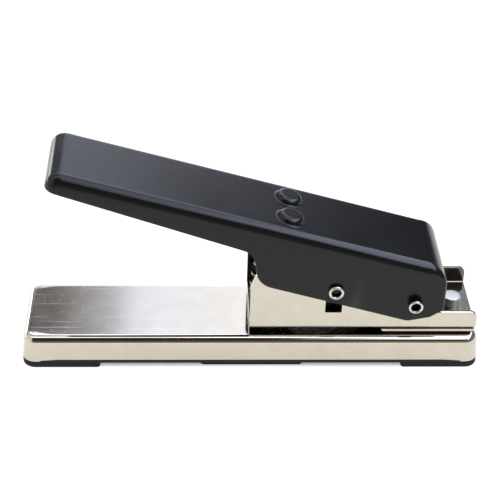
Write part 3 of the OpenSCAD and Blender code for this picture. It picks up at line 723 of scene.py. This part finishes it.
class PUNCH_OT_underside(bpy.types.Operator):
    """Makes the moulded cover under the tray and the three rubber feet"""

    bl_idname = "punch.underside"
    bl_label = "Underside"

    def execute(self, context):
        self.cover()
        wide, small = sizes().tray_corner, 1.2 * MM
        for node in ("foot_front", "foot_rear"):
            low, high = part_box(node)
            front, rear = (wide, small) if low.x < 0 else (small, wide)
            self.foot(node, [(low.x, low.y, front), (high.x, low.y, rear),
                             (high.x, high.y, rear), (low.x, high.y, front)])
        low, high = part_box("foot_middle")
        x0, _, half = self.drop()
        end, mouth, bay = 2 * MM, 0.8 * MM, 3 * MM
        self.foot("foot_middle", [
            (low.x, low.y, end), (high.x, low.y, small), (high.x, -half, mouth), (x0, -half, bay),
            (x0, half, bay), (high.x, half, mouth), (high.x, high.y, small), (low.x, high.y, end)])
        return {"FINISHED"}

    @staticmethod
    def foot(node, corners):
        make_plate(node.replace("foot", "rubber"), node, soft_path(corners, True),
                   sizes().foot_edge, finish("Foot rubber"), "black_rubber")

    @staticmethod
    def drop():
        """Ends and half width of the opening that the picks drop through."""
        ahead, aside = 2.2 * MM, 1.2 * MM
        return HEAD_LOW.x - ahead, HEAD_HIGH.x + ahead, HEAD_HIGH.y + aside

    def cover(self):
        """Draws the cover: a floor under the tray with a rim that stands up inside its skirt."""
        s = sizes()
        flare = tray_flare()
        gap, edge, corner = 0.1 * MM, 0.3 * MM, 3 * MM
        rim_out, rim_in = s.tray_sheet + 0.15 * MM, s.tray_sheet + 1.35 * MM
        low, high, floor = COVER_LOW.z, COVER_HIGH.z, TRAY_LOW.z + s.ear_drop
        under_skirt = None
        levels = [(edge, low), (0.3 * edge, low + 0.3 * edge), (0.0, low + edge),
                  (0.0, under_skirt), (rim_out, under_skirt), (rim_out, high - edge),
                  (rim_out + edge, high), (rim_in, high), (rim_in, floor)]
        skirt = [skirt_low(p.x * flare) - gap for p in tray_loop(0.0)]
        bm = bmesh.new()
        stack = []
        for inset, height in levels:
            points = [Vector((p.x * flare, p.y, below if height is under_skirt else height))
                      for p, below in zip(tray_loop(inset), skirt)]
            stack.append(([p.xy for p in points], ring(bm, points)))
        skin(bm, [verts for _, verts in stack])
        opening = wound(soft_box(*self.drop(), corner), True)
        wall = layers(bm, opening, [(edge, low), (0.0, low + edge), (0.0, floor - edge),
                                    (edge, floor)])
        for end in (0, -1):
            fill(bm, [stack[end], wall[end]])
        make_piece("cover", bm, finish("Cover plastic"), "base", "black_cover", "bottom_cover")


class PUNCH_OT_plates(bpy.types.Operator):
    """Makes the spacer and the card stop plate under the frame"""

    bl_idname = "punch.plates"
    bl_label = "Spacer and card stop"

    def execute(self, context):
        corner, edge = 0.6 * MM, 0.6 * sizes().cut_edge
        for node, name, material, slot in (
                # The spacer's blackened finish also stands in as painted shade for the dark band
                # under the card stop.
                ("spacer_shim", "spacer", finish("Blackened steel"), "dark_steel"),
                ("card_stop_plate", "card_stop", frame_finish(), "plated_frame")):
            low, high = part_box(node)
            make_plate(name, node, soft_box(low.x, high.x, high.y, corner), edge, material, slot)
        return {"FINISHED"}


class PUNCH_OT_frame(bpy.types.Operator):
    """Folds the U-shaped frame from its flat blank, with the pin slots and the punch guide"""

    bl_idname = "punch.frame"
    bl_label = "Frame"

    def execute(self, context):
        s = sizes()
        low, high = FRAME_LOW, FRAME_HIGH
        bend = s.frame_bend
        floor_half = high.y - bend
        bend_run = (bend - s.frame_sheet / 2) * QUARTER
        cheek_foot = low.z + bend

        def fold(x, run, depth):
            """Place of a point of the blank, from its run off the middle and depth in the sheet."""
            side = math.copysign(1, run)
            run = abs(run)
            if run <= floor_half:
                return Vector((x, side * run, low.z + depth))
            if run < floor_half + bend_run:
                turn = polar((run - floor_half) / bend_run * QUARTER, bend - depth)
                return Vector((x, side * (floor_half + turn.y), cheek_foot - turn.x))
            return Vector((x, side * (high.y - depth), cheek_foot + run - floor_half - bend_run))

        def run_of(z):
            """Run of a point of the cheek at a height."""
            return floor_half + bend_run + z - cheek_foot

        bends = sweep(floor_half, floor_half + bend_run, 7)
        far = [Vector((p.x, run_of(p.y))) for p in self.cheek(cheek_foot)]
        far += [Vector((high.x, run)) for run in reversed(bends[:-1])]
        near = [Vector((p.x, -p.y)) for p in reversed(far)]
        front = [Vector((low.x, side * run)) for side in (-1, 1) for run in bends[:-1][::side]]
        holes = [pick_outline(0.05 * MM)]
        (x0, z0), (x1, z1) = SLOT_LOW, SLOT_HIGH
        slot_corner = 0.3 * MM
        for side in (-1, 1):
            holes.append(soft_path([(x, side * run_of(z), slot_corner) for x, z in
                                    ((x0, z0), (x1, z0), (x1, z1), (x0, z1))], True))
        folds = [side * run for side in (-1, 1) for run in bends]
        bm = bmesh.new()
        plate(bm, [far + near + front] + holes, 0.0, s.frame_sheet, s.cut_edge, fold, folds,
              hole_edge=0.04 * MM)
        make_piece("frame", bm, frame_finish(), "base", "plated_frame", "punch_frame")
        return {"FINISHED"}

    @staticmethod
    def cheek(foot):
        """Side outline of a cheek from its front foot over its top and rail to its rear foot."""
        front, rear, top = FRAME_LOW.x, FRAME_HIGH.x, FRAME_HIGH.z
        slant_run, slant_drop = 2.2 * MM, 6.4 * MM
        top_end, boss_end = PIVOT.x - 21.3 * MM, PIVOT.x + 6.3 * MM
        boss_top, rail_top = PIVOT.z + 6.8 * MM, FRAME_LOW.z + 7.9 * MM
        return soft_path([
            (front, foot, 0), (front, top - slant_drop, 3 * MM), (front + slant_run, top, 3 * MM),
            (top_end, top, 6 * MM), (boss_end, boss_top, 6 * MM), (boss_end, rail_top, 2 * MM),
            (rear, rail_top, 2.4 * MM), (rear, foot, 0)])


class PUNCH_OT_rivets(bpy.types.Operator):
    """Turns the two tubular pins and the stud at the frame's rear end"""

    bl_idname = "punch.rivets"
    bl_label = "Pins and stud"

    def execute(self, context):
        s = sizes()
        for node, name, body, flared in (("pivot_rivet", "pivot_tube", "base", s.pivot_lip),
                                         ("punch_pin", "punch_tube", "lever", s.pin_lip)):
            self.tube(node, name, body, flared)
        low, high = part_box("rear_rivet")
        floor = FRAME_LOW.z + s.frame_sheet
        radius, shank = (high.x - low.x) / 2, 2 * MM
        foot_edge, top_edge, crown = 0.1 * MM, 0.4 * MM, 3 * MM
        edge = soft_path([(0, low.z, 0), (shank, low.z, 0), (shank, floor, 0),
                          (radius, floor, foot_edge), (radius, high.z - 0.1 * MM, top_edge),
                          (0.7 * radius, high.z, crown), (0, high.z, 0)])
        bm = bmesh.new()
        spun(bm, edge, ((low.x + high.x) / 2, 0, 0), (0, 0, 1))
        make_piece("rear_stud", bm, finish("Stud zinc"), "base", "rivet_steel", "rear_rivet")
        return {"FINISHED"}

    @staticmethod
    def tube(node, name, body, flared):
        """A tube with rolled lips at both ends, with painted shade in its bore from just behind the
        lips.
        """
        s = sizes()
        low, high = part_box(node)
        end = high.y
        lip, middle = (flared - s.tube_bore) / 4, (flared + s.tube_bore) / 4
        rolled = [polar(a, lip) + Vector((middle, end - lip)) for a in sweep(0, math.pi, 10)]
        flare = [(s.tube / 2, end - 3.5 * lip), (s.tube / 2 + 0.05 * MM, end - 2.6 * lip), *rolled]
        profile = flare + [(radius, -along) for radius, along in reversed(flare)]
        bm = bmesh.new()
        spun(bm, profile, (low + high) / 2, (0, 1, 0), closed=True)
        # Painted shade in the tube's bore, from just behind the lips.
        plate_of_tube = finish(f"{name} plate", dull=(-end, end - 0.5 * MM))
        make_piece(name, bm, plate_of_tube, body, "rivet_steel", node)


class PUNCH_OT_springs(bpy.types.Operator):
    """Winds the two return springs between their posts and the seats in the handle"""

    bl_idname = "punch.springs"
    bl_label = "Return springs"

    def execute(self, context):
        s = sizes()
        foot_gap, seat_gap = 0.1 * MM, 0.3 * MM
        foot_x = (POST_LOW.x + POST_HIGH.x) / 2
        foot_z = FRAME_LOW.z + s.frame_sheet + foot_gap + s.wire / 2
        for side, name, node in ((-1, "spring_near", "return_spring_near"),
                                 (1, "spring_far", "return_spring_far")):
            y = side * s.seat_spacing / 2
            foot = Vector((foot_x, y, foot_z))
            seat = RAISED @ Vector((-s.seat_reach, y, s.handle_rise + seat_gap))
            bm = bmesh.new()
            self.wind(bm, foot, seat)
            piece = make_piece(name, bm, finish("Spring wire"), None, "spring_steel", node)
            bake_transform(piece)
        return {"FINISHED"}

    @staticmethod
    def wind(bm, foot, seat, rings_per_turn=30, sides=12):
        """Sweeps round wire along a coil whose axis starts upright and ends square to the seat."""
        s = sizes()
        rise = (seat - foot).length
        upright, lean = (Vector((math.sin(a), 0, math.cos(a))) * rise for a in (0.0, REST_LEAN))
        last = s.turns * rings_per_turn
        close = (s.wire + 0.35 * MM) / rise
        slack = 0.010

        def share(turn):
            """Share of the spring's height after so many turns, with a close turn at each end."""
            if turn < 1:
                return close * turn
            if turn > s.turns - 1:
                return 1 - close * (s.turns - turn)
            t = (turn - 1) / (s.turns - 2)
            return close + (1 - 2 * close) * t - slack * math.sin(math.tau * t)

        def axis_point(t):
            """Point of the axis, a smooth curve between its two ends and directions."""
            a, b = 2 * t ** 3 - 3 * t ** 2 + 1, t ** 3 - 2 * t ** 2 + t
            c, d = 3 * t ** 2 - 2 * t ** 3, t ** 3 - t ** 2
            return foot * a + upright * b + seat * c + lean * d

        def wire_point(k):
            """Point in the middle of the wire, and its direction away from the axis."""
            turn = min(max(k, 0), last) / rings_per_turn
            t = share(turn)
            way = axis_point(min(t + 0.01, 1)) - axis_point(max(t - 0.01, 0))
            way.normalize()
            around = polar(math.tau * turn)
            out = Vector((way.z, 0, -way.x)) * around.x + Vector((0, 1, 0)) * around.y
            return axis_point(t) + out * (s.coil / 2), out

        rings = []
        for k in range(last + 1):
            here, out = wire_point(k)
            way = (wire_point(k + 1)[0] - wire_point(k - 1)[0]).normalized()
            up = way.cross(out).normalized()
            radius = s.wire / 2 * (0.8 if k in (0, last) else 1.0)
            rings.append(ring(bm, circle(here, out, up, radius, sides)))
        skin(bm, rings)
        bm.faces.new(rings[0])
        bm.faces.new(rings[-1])


class PUNCH_OT_handle(bpy.types.Operator):
    """Rolls the black handle along its outline, with deep walls and two raised spring seats"""

    bl_idname = "punch.handle"
    bl_label = "Handle"

    def execute(self, context):
        s = sizes()
        beyond, tail_corner = 5 * MM, s.handle_tail - 3.4 * MM
        # lower edge of the walls: distance from the pivot, height over it, radius
        self.lower = soft_path([
            (-s.handle_reach - beyond, 10.23 * MM, 0), (-63.2 * MM, 4.7 * MM, 6.5 * MM),
            (-57.9 * MM, -7.7 * MM, 7.7 * MM), (0, -8.3 * MM, 4 * MM),
            (tail_corner, -4.28 * MM, 3 * MM), (s.handle_tail + beyond, 9.2 * MM, 0)])
        bm = bmesh.new()
        rows, first, last = self.outline()
        skins = [self.skin_of(bm, rows, inset) for inset in (0.0, s.handle_sheet)]
        tops = []
        for grid, paths in skins:
            self.close_skin(bm, grid, paths, first, last)
            middle = len(grid[0]) // 2
            flat = grid[first:last + 1]
            edge = [row[middle - 1] for row in flat] + [row[middle] for row in reversed(flat)]
            tops.append([([vert.co.xy for vert in edge], edge)])
        self.rim(bm, skins)
        self.seats(bm, tops)
        for loops in tops:
            fill(bm, loops)
        bm.transform(RAISED)
        make_piece("handle_shell", bm, finish("Black enamel"), "lever", "black_enamel", "handle")
        return {"FINISHED"}

    def low(self, x):
        """Height of the wall's lower edge."""
        for a, b in zip(self.lower, self.lower[1:]):
            if x <= b.x:
                return a.y + (b.y - a.y) * (x - a.x) / (b.x - a.x)
        return self.lower[-1].y

    @staticmethod
    def outline(steps=12):
        """Rows (point, outward normal, bend) from front wall to rear wall, and the flat's ends."""
        s = sizes()
        front, top, bend = -s.handle_reach, s.handle_rise, s.handle_bend
        nose = Vector((front + s.nose_bend, top - s.nose_bend))
        turn = QUARTER - REST_LEAN
        foot = Vector((s.handle_tail, s.tail_foot))
        knee = foot.x - (top - foot.y) * math.tan(REST_LEAN)
        tail = Vector((knee - s.tail_bend * math.tan(turn / 2), top - s.tail_bend))
        rows = [(Vector((front, nose.y)), Vector((-1, 0)), s.nose_corner)]
        for out, corner in zip(map(polar, sweep(math.pi, QUARTER, steps)),
                               sweep(s.nose_corner, bend, steps)):
            rows.append((nose + out * s.nose_bend, out, corner))
        first = len(rows) - 1
        for x in sweep(nose.x, tail.x, steps)[1:-1]:
            rows.append((Vector((x, top)), Vector((0, 1)), bend))
        last = len(rows)
        for out, share in zip(map(polar, sweep(QUARTER, QUARTER - turn, 2 * steps)),
                              sweep(1, 0, 2 * steps)):
            corner = s.tail_corner + (bend - s.tail_corner) * share ** 2
            rows.append((tail + out * s.tail_bend, out, corner))
        return rows + [(foot, out, s.tail_corner)], first, last

    def skin_of(self, bm, rows, inset, turns=8):
        """Grid of vertices over one face of the sheet, and the lower paths of both its walls."""
        s = sizes()
        tail_lift, lift_power = 1.2 * MM, 1.2
        grid = []
        for n, (point, out, bend) in enumerate(rows):
            near = []
            rounds = quarter_round(max(bend - inset, LEAST_BEND), turns)
            for k, (drop, across) in enumerate(rounds):
                x, height = here = point - out * (inset + drop)
                if n == 0:
                    height = self.low(x) + s.handle_edge
                elif n == len(rows) - 1:
                    lift = tail_lift * (k / turns) ** lift_power
                    height = self.low(point.x - s.tail_corner) + lift + s.handle_edge
                    x += (here.y - height) * math.tan(REST_LEAN)
                near.append(Vector((x, inset + across - s.handle_half, height)))
            far = [Vector((p.x, -p.y, p.z)) for p in reversed(near)]
            grid.append(ring(bm, near + far))
        x0, x1 = s.nose_corner - s.handle_reach, s.handle_tail - s.tail_corner
        places = sorted([p.x for p in self.lower] + sweep(x0, x1, 24))
        places = [b for a, b in zip(places, places[1:])
                  if b - a > 0.01 * MM and x0 + 0.1 * MM < b < x1 - 0.1 * MM]
        paths = [ring(bm, [Vector((x, side * (s.handle_half - inset), self.low(x) + s.handle_edge))
                           for x in places]) for side in (-1, 1)]
        return grid, paths

    @staticmethod
    def close_skin(bm, grid, paths, first, last):
        """Faces over the bends, the ends and the walls; the flat between two rows stays open."""
        middle = len(grid[0]) // 2
        for n, (row, after) in enumerate(zip(grid, grid[1:])):
            for k in range(len(row) - 1):
                if k != middle - 1 or not first <= n < last:
                    bm.faces.new((row[k], row[k + 1], after[k + 1], after[k]))
        for column, path in ((0, paths[0]), (-1, paths[1])):
            loop = [row[column] for row in grid] + path[::-1]
            fill(bm, [([vert.co.xz for vert in loop], loop)])

    @staticmethod
    def rim(bm, skins):
        """Rounded lower edge between the two faces of the sheet."""
        s = sizes()
        outer, inner = (grid[0][:1] + paths[0] + grid[-1] + paths[1][::-1] + grid[0][:0:-1]
                        for grid, paths in skins)
        rings = [outer]
        for share, height in cut_rim(s.handle_sheet, s.handle_edge)[1:-1]:
            down = Vector((0, 0, height - s.handle_edge))
            rings.append(ring(bm, [a.co.lerp(b.co, share) + down for a, b in zip(outer, inner)]))
        skin(bm, rings + [inner])

    @staticmethod
    def seats(bm, tops):
        """Both spring seats, with their hollow undersides; their rims join the loops of the top."""
        s = sizes()
        base, crown, rise = s.seat_base / 2, s.seat_top / 2, s.seat_height
        wall, fillet, shoulder, inner_shoulder = 0.9 * MM, 0.8 * MM, 2 * MM, 1.1 * MM
        flare = (base - crown) / rise
        inner_base = base - wall * math.hypot(1, flare)
        roof = rise - wall
        outside = soft_path([(base + 2 * MM, 0, 0), (base, 0, fillet), (crown, rise, shoulder),
                             (0, rise, 0)])[1:]
        inside = soft_path([(inner_base + s.handle_sheet * flare, -s.handle_sheet, 0),
                            (inner_base - roof * flare, roof, inner_shoulder), (0, roof, 0)])
        for y in (-s.seat_spacing / 2, s.seat_spacing / 2):
            centre = Vector((-s.seat_reach, y, s.handle_rise))
            for profile, loops in zip((outside, inside), tops):
                edge = spun(bm, profile, centre, (0, 0, 1), count=56)[0]
                loops.append(([vert.co.xy for vert in edge], edge))


class PUNCH_OT_works(bpy.types.Operator):
    """Gives the punch, the die and the small fittings their finish and eased edges"""

    bl_idname = "punch.works"
    bl_label = "Inner works"

    def execute(self, context):
        for name, nodes in (
                # The die and the punch get the tool steel that is darkened as painted shade.
                ("Tool steel", ("die_plate", "punch_head", "punch_block")),
                ("Zinc plate", ("die_screws", "pivot_sleeve", "pivot_washers", "spring_posts")),
                ("Blackened steel", ("punch_screws",)),
                ("Rivet plate", ("frame_rivets",))):
            for node in nodes:
                self.ease(frame["nodes"][node], finish(name))
        return {"FINISHED"}

    @staticmethod
    def ease(solid, material):
        solid.data.materials.clear()
        solid.data.materials.append(material)
        joined = solid.modifiers.new("Joined corners", "WELD")
        joined.merge_threshold = 0.001 * MM
        eased = solid.modifiers.new("Eased edges", "BEVEL")
        eased.width = 0.12 * MM
        eased.segments = 2
        eased.limit_method = "ANGLE"
        eased.angle_limit = math.radians(40)


def seen_rays(tree):
    """One for camera, glossy and transmission rays, which see the studio white."""
    path = add_node(tree, "ShaderNodeLightPath").outputs
    seen = maths(tree, "ADD", path["Is Camera Ray"], path["Is Glossy Ray"])
    return maths(tree, "ADD", seen, path["Is Transmission Ray"], use_clamp=True)


def mixed(tree, share, first, second):
    """Shader that goes over from one to another."""
    inputs = {"Fac": share, 1: first.outputs[0], 2: second.outputs[0]}
    return add_node(tree, "ShaderNodeMixShader", inputs)


def along(x0, x1, *edges):
    """Corners of a card that runs along X between two edges (y, z)."""
    (y0, z0), (y1, z1) = edges
    return [(x0, y0, z0), (x1, y0, z0), (x1, y1, z1), (x0, y1, z1)]


def upright(start, end, z0, z1):
    """Corners of an upright card between two points of the plan."""
    return [(*start, z0), (*end, z0), (*end, z1), (*start, z1)]


class PUNCH_OT_studio(bpy.types.Operator):
    """Sets up the pale floor, the cards, the lamps and the camera"""

    bl_idname = "punch.studio"
    bl_label = "Studio"

    def execute(self, context):
        scene = context.scene
        scene.view_settings.view_transform = "Standard"
        self.floor()
        self.world(scene)
        self.cards()
        self.lamps(scene)
        self.camera(scene)
        return {"FINISHED"}

    @staticmethod
    def sheet(name, corners, material):
        mesh = bpy.data.meshes.new(name)
        mesh.from_pydata(corners, [], [list(range(len(corners)))])
        mesh.materials.append(material)
        sheet = bpy.data.objects.new(name, mesh)
        bpy.context.scene.collection.objects.link(sheet)
        return sheet

    def floor(self):
        """Matt floor, white to the eye but for the shade under the tray, and clear from below."""
        material, tree, surface = blank("Studio floor")
        matt = add_node(tree, "ShaderNodeBsdfDiffuse", {"Color": rgba(colours().floor)})
        white = add_node(tree, "ShaderNodeEmission", {"Color": (1, 1, 1, 1), "Strength": 1.0})
        place = axes(tree)
        shares = []
        for axis, edge, soft in (("X", TRAY_HIGH.x, 6 * MM), ("Y", TRAY_HIGH.y, 4 * MM)):
            aside = maths(tree, "ABSOLUTE", place[axis])
            shares.append(ranged(tree, aside, edge - soft, edge, high=0.82))
        beside = maths(tree, "MAXIMUM", *shares)
        top = mixed(tree, maths(tree, "MULTIPLY", seen_rays(tree), beside), matt, white)
        back = add_node(tree, "ShaderNodeNewGeometry").outputs["Backfacing"]
        both = mixed(tree, back, top, add_node(tree, "ShaderNodeBsdfTransparent"))
        tree.links.new(both.outputs[0], surface)
        reach, below = 3.0, -0.02 * MM
        self.sheet("studio_floor", along(-reach, reach, (-reach, below), (reach, below)), material)

    @staticmethod
    def world(scene):
        """Grey light all round, white to the eye."""
        scene.world = bpy.data.worlds.new("Studio")
        scene.world.use_nodes = True
        tree = scene.world.node_tree
        tree.nodes.clear()
        light, white = (
            add_node(tree, "ShaderNodeBackground", {"Color": rgba([grey] * 3), "Strength": power})
            for grey, power in ((0.8, 0.55), (1.0, 1.0)))
        both = mixed(tree, seen_rays(tree), light, white)
        add_node(tree, "ShaderNodeOutputWorld", {"Surface": both.outputs[0]})

    def cards(self):
        """Windows behind and overhead, boxes and strips at both sides, and dark cards between."""
        sky, warm, cream = rgba(colours().sky), (0.90, 0.885, 1.0, 1.0), (0.83, 0.866, 1.0, 1.0)
        plain, brown = (0.97, 0.98, 1.0, 1.0), (1.0, 0.88, 0.82, 1.0)
        left, right = ((-0.34, 0.49), (-0.72, 0.2)), ((0.42, 0.5), (0.42, -0.45), (0.42, -0.9))
        for name, corners, *stops in (
                ("back_window", along(-0.33, 0.60, (0.5, 0.335), (0.5, 0.43)),
                 (-0.33, warm, 0.05), (-0.17, warm, 0.15), (-0.1345, warm, 0.24),
                 (-0.114, warm, 0.46), (-0.0887, sky, 0.86), (-0.066, sky, 1.72),
                 (-0.04, sky, 1.92), (0.01, cream, 1.8), (0.05, cream, 2.0), (0.085, cream, 1.65),
                 (0.12, cream, 1.25), (0.15, cream, 0.24), (0.60, sky, 0.1)),
                ("window_sill", along(-0.33, 0.60, (0.49, 0.05), (0.49, 0.335)),
                 (-0.33, cream, 0.20), (0.0, cream, 2.6), (0.05, cream, 2.1), (0.12, cream, 1.33),
                 (0.16, cream, 0.92), (0.195, cream, 0.62), (0.254, cream, 0.28),
                 (0.313, cream, 0.10), (0.60, cream, 0.05)),
                ("upper_window", along(-0.33, 0.05, (0.5, 0.43), (0.5, 0.68)), (0.0, sky, 3.0)),
                ("top_window", along(-0.8, 0.41, (0.52, 0.68), (0.06, 0.92)),
                 (-0.8, sky, 0.9), (-0.16, sky, 0.9), (-0.1, sky, 2.2), (0.41, sky, 2.2)),
                ("side_window", [(0.05, 0.51, 0.43), (0.245, 0.51, 0.43), (0.40, 0.51, 0.70),
                                 (0.41, 0.51, 0.95), (0.05, 0.51, 0.95)], (0.0, sky, 5.2)),
                ("dark_side", [(0.245, 0.51, 0.43), (0.60, 0.51, 0.43), (0.60, 0.51, 0.95),
                               (0.41, 0.51, 0.95), (0.40, 0.51, 0.70)], (0.0, sky, 0.15)),
                ("overhead_strip", along(-0.8, 0.41, (0.06, 0.9), (-0.27, 0.9)),
                 (-0.8, cream, 2.2), (-0.05, cream, 2.2), (0.02, cream, 3.2), (0.41, cream, 3.2)),
                ("dark_canopy", along(-0.8, 0.41, (-0.27, 0.92), (-0.7, 0.8)),
                 (-0.8, sky, 0.02), (0.08, sky, 0.02), (0.2, sky, 2.5), (0.41, sky, 4.5)),
                ("dark_front", along(-0.8, 0.8, (-0.7, 0.8), (-0.83, 0.44)), (0.0, brown, 0.05)),
                ("low_front", along(-0.8, 0.8, (-0.83, 0.44), (-0.95, 0.1)),
                 (-0.8, brown, 0.12), (0.0, brown, 0.17), (0.4, brown, 0.32), (0.8, brown, 0.12)),
                ("far_ledge", along(-0.8, 0.8, (-0.95, 0.1), (-0.34, 0.003)), (0.0, brown, 0.28)),
                ("near_ledge", along(-0.8, 0.8, (-0.34, 0.003), (-0.15, 0.002)),
                 (0.0, brown, 0.68)),
                ("left_strip", upright(*left, 0.01, 0.13), (0.0, plain, 4.5)),
                ("left_dark", upright(*left, 0.13, 0.36),
                 (-0.72, plain, 0.4), (-0.34, plain, 0.25)),
                ("right_box", upright(*right[:2], 0.40, 1.6), (0.0, sky, 6.2)),
                ("right_low", upright(right[0], right[2], 0.03, 0.40), (0.0, sky, 0.3)),
                ("dark_right", upright(*right[1:], 0.40, 1.0), (0.0, plain, 0.02))):
            self.card(name, corners, stops)

    def card(self, name, corners, stops):
        """A card that only reflections see, lit from stop to stop (X, colour, strength)."""
        material, tree, surface = blank(name)
        strongest = max(strength for _, _, strength in stops)
        lit = add_node(tree, "ShaderNodeEmission", {"Color": stops[0][1], "Strength": strongest})
        if len(stops) > 1:
            start, end = stops[0][0], stops[-1][0]
            share = ranged(tree, axes(tree)["X"], start, end)
            ramp = add_node(tree, "ShaderNodeValToRGB", {"Fac": share})
            elements = ramp.color_ramp.elements
            for k, (x, colour, strength) in enumerate(stops):
                place = (x - start) / (end - start)
                stop = elements[k] if k < 2 else elements.new(place)
                stop.position = place
                stop.color = rgba(colour[:3], strength / strongest)
            tree.links.new(ramp.outputs["Color"], lit.inputs["Color"])
        tree.links.new(lit.outputs[0], surface)
        card = self.sheet(name, corners, material)
        card.visible_camera = False
        card.visible_diffuse = False
        card.visible_shadow = False

    @staticmethod
    def lamps(scene):
        """A large lamp overhead and a small one that fills in from the left."""
        for name, place, target, size, power in (
                ("overhead", (0.0, 0.05, 0.9), (0.0, 0.0, 0.0), 0.9, 22.0),
                ("left_fill", (-0.9, -0.3, 0.6), (0.0, 0.0, 0.02), 0.6, 4.0)):
            light = bpy.data.lights.new(name, "AREA")
            light.shape = "SQUARE"
            light.size = size
            light.energy = power
            lamp = bpy.data.objects.new(name, light)
            lamp.location = place
            way = Vector(target) - Vector(place)
            lamp.rotation_euler = way.to_track_quat("-Z", "Y").to_euler()
            lamp.visible_camera = False
            lamp.visible_glossy = False
            scene.collection.objects.link(lamp)

    @staticmethod
    def camera(scene):
        """The camera in front of the part and above it."""
        lens = bpy.data.cameras.new("Camera")
        lens.sensor_width = 36.0
        lens.lens = 102.45
        lens.shift_x = 0.039
        camera = bpy.data.objects.new("Camera", lens)
        camera.location = (-0.02428, -0.43354, 0.33720)
        camera.rotation_euler = [math.radians(turn) for turn in (55.660, -1.071, -1.421)]
        scene.collection.objects.link(camera)
        scene.camera = camera


OPERATORS = (PUNCH_OT_tray, PUNCH_OT_underside, PUNCH_OT_plates, PUNCH_OT_frame, PUNCH_OT_rivets,
             PUNCH_OT_springs, PUNCH_OT_handle, PUNCH_OT_works, PUNCH_OT_studio)


class PUNCH_PT_panel(bpy.types.Panel):
    """Lists the pieces with their sizes and colours"""

    bl_idname = "PUNCH_PT_panel"
    bl_label = "Pick Punch"
    bl_space_type = "VIEW_3D"
    bl_region_type = "UI"
    bl_category = "Pick Punch"

    def draw(self, context):
        column = self.layout.column()
        for operator in OPERATORS:
            column.operator(operator.bl_idname)
        for group in (context.scene.punch_sizes, context.scene.punch_colours):
            box = self.layout.box()
            for name in group.__annotations__:
                box.prop(group, name)


CLASSES = (PunchSizes, PunchColours, *OPERATORS, PUNCH_PT_panel)


def register():
    for cls in CLASSES:
        bpy.utils.register_class(cls)
    bpy.types.Scene.punch_sizes = PointerProperty(type=PunchSizes)
    bpy.types.Scene.punch_colours = PointerProperty(type=PunchColours)


def unregister():
    del bpy.types.Scene.punch_colours
    del bpy.types.Scene.punch_sizes
    for cls in reversed(CLASSES):
        bpy.utils.unregister_class(cls)


def main():
    register()
    bpy.ops.punch.tray()
    bpy.ops.punch.underside()
    bpy.ops.punch.plates()
    bpy.ops.punch.frame()
    bpy.ops.punch.rivets()
    bpy.ops.punch.springs()
    bpy.ops.punch.handle()
    bpy.ops.punch.works()
    bpy.ops.punch.studio()


if __name__ == "__main__":
    main()
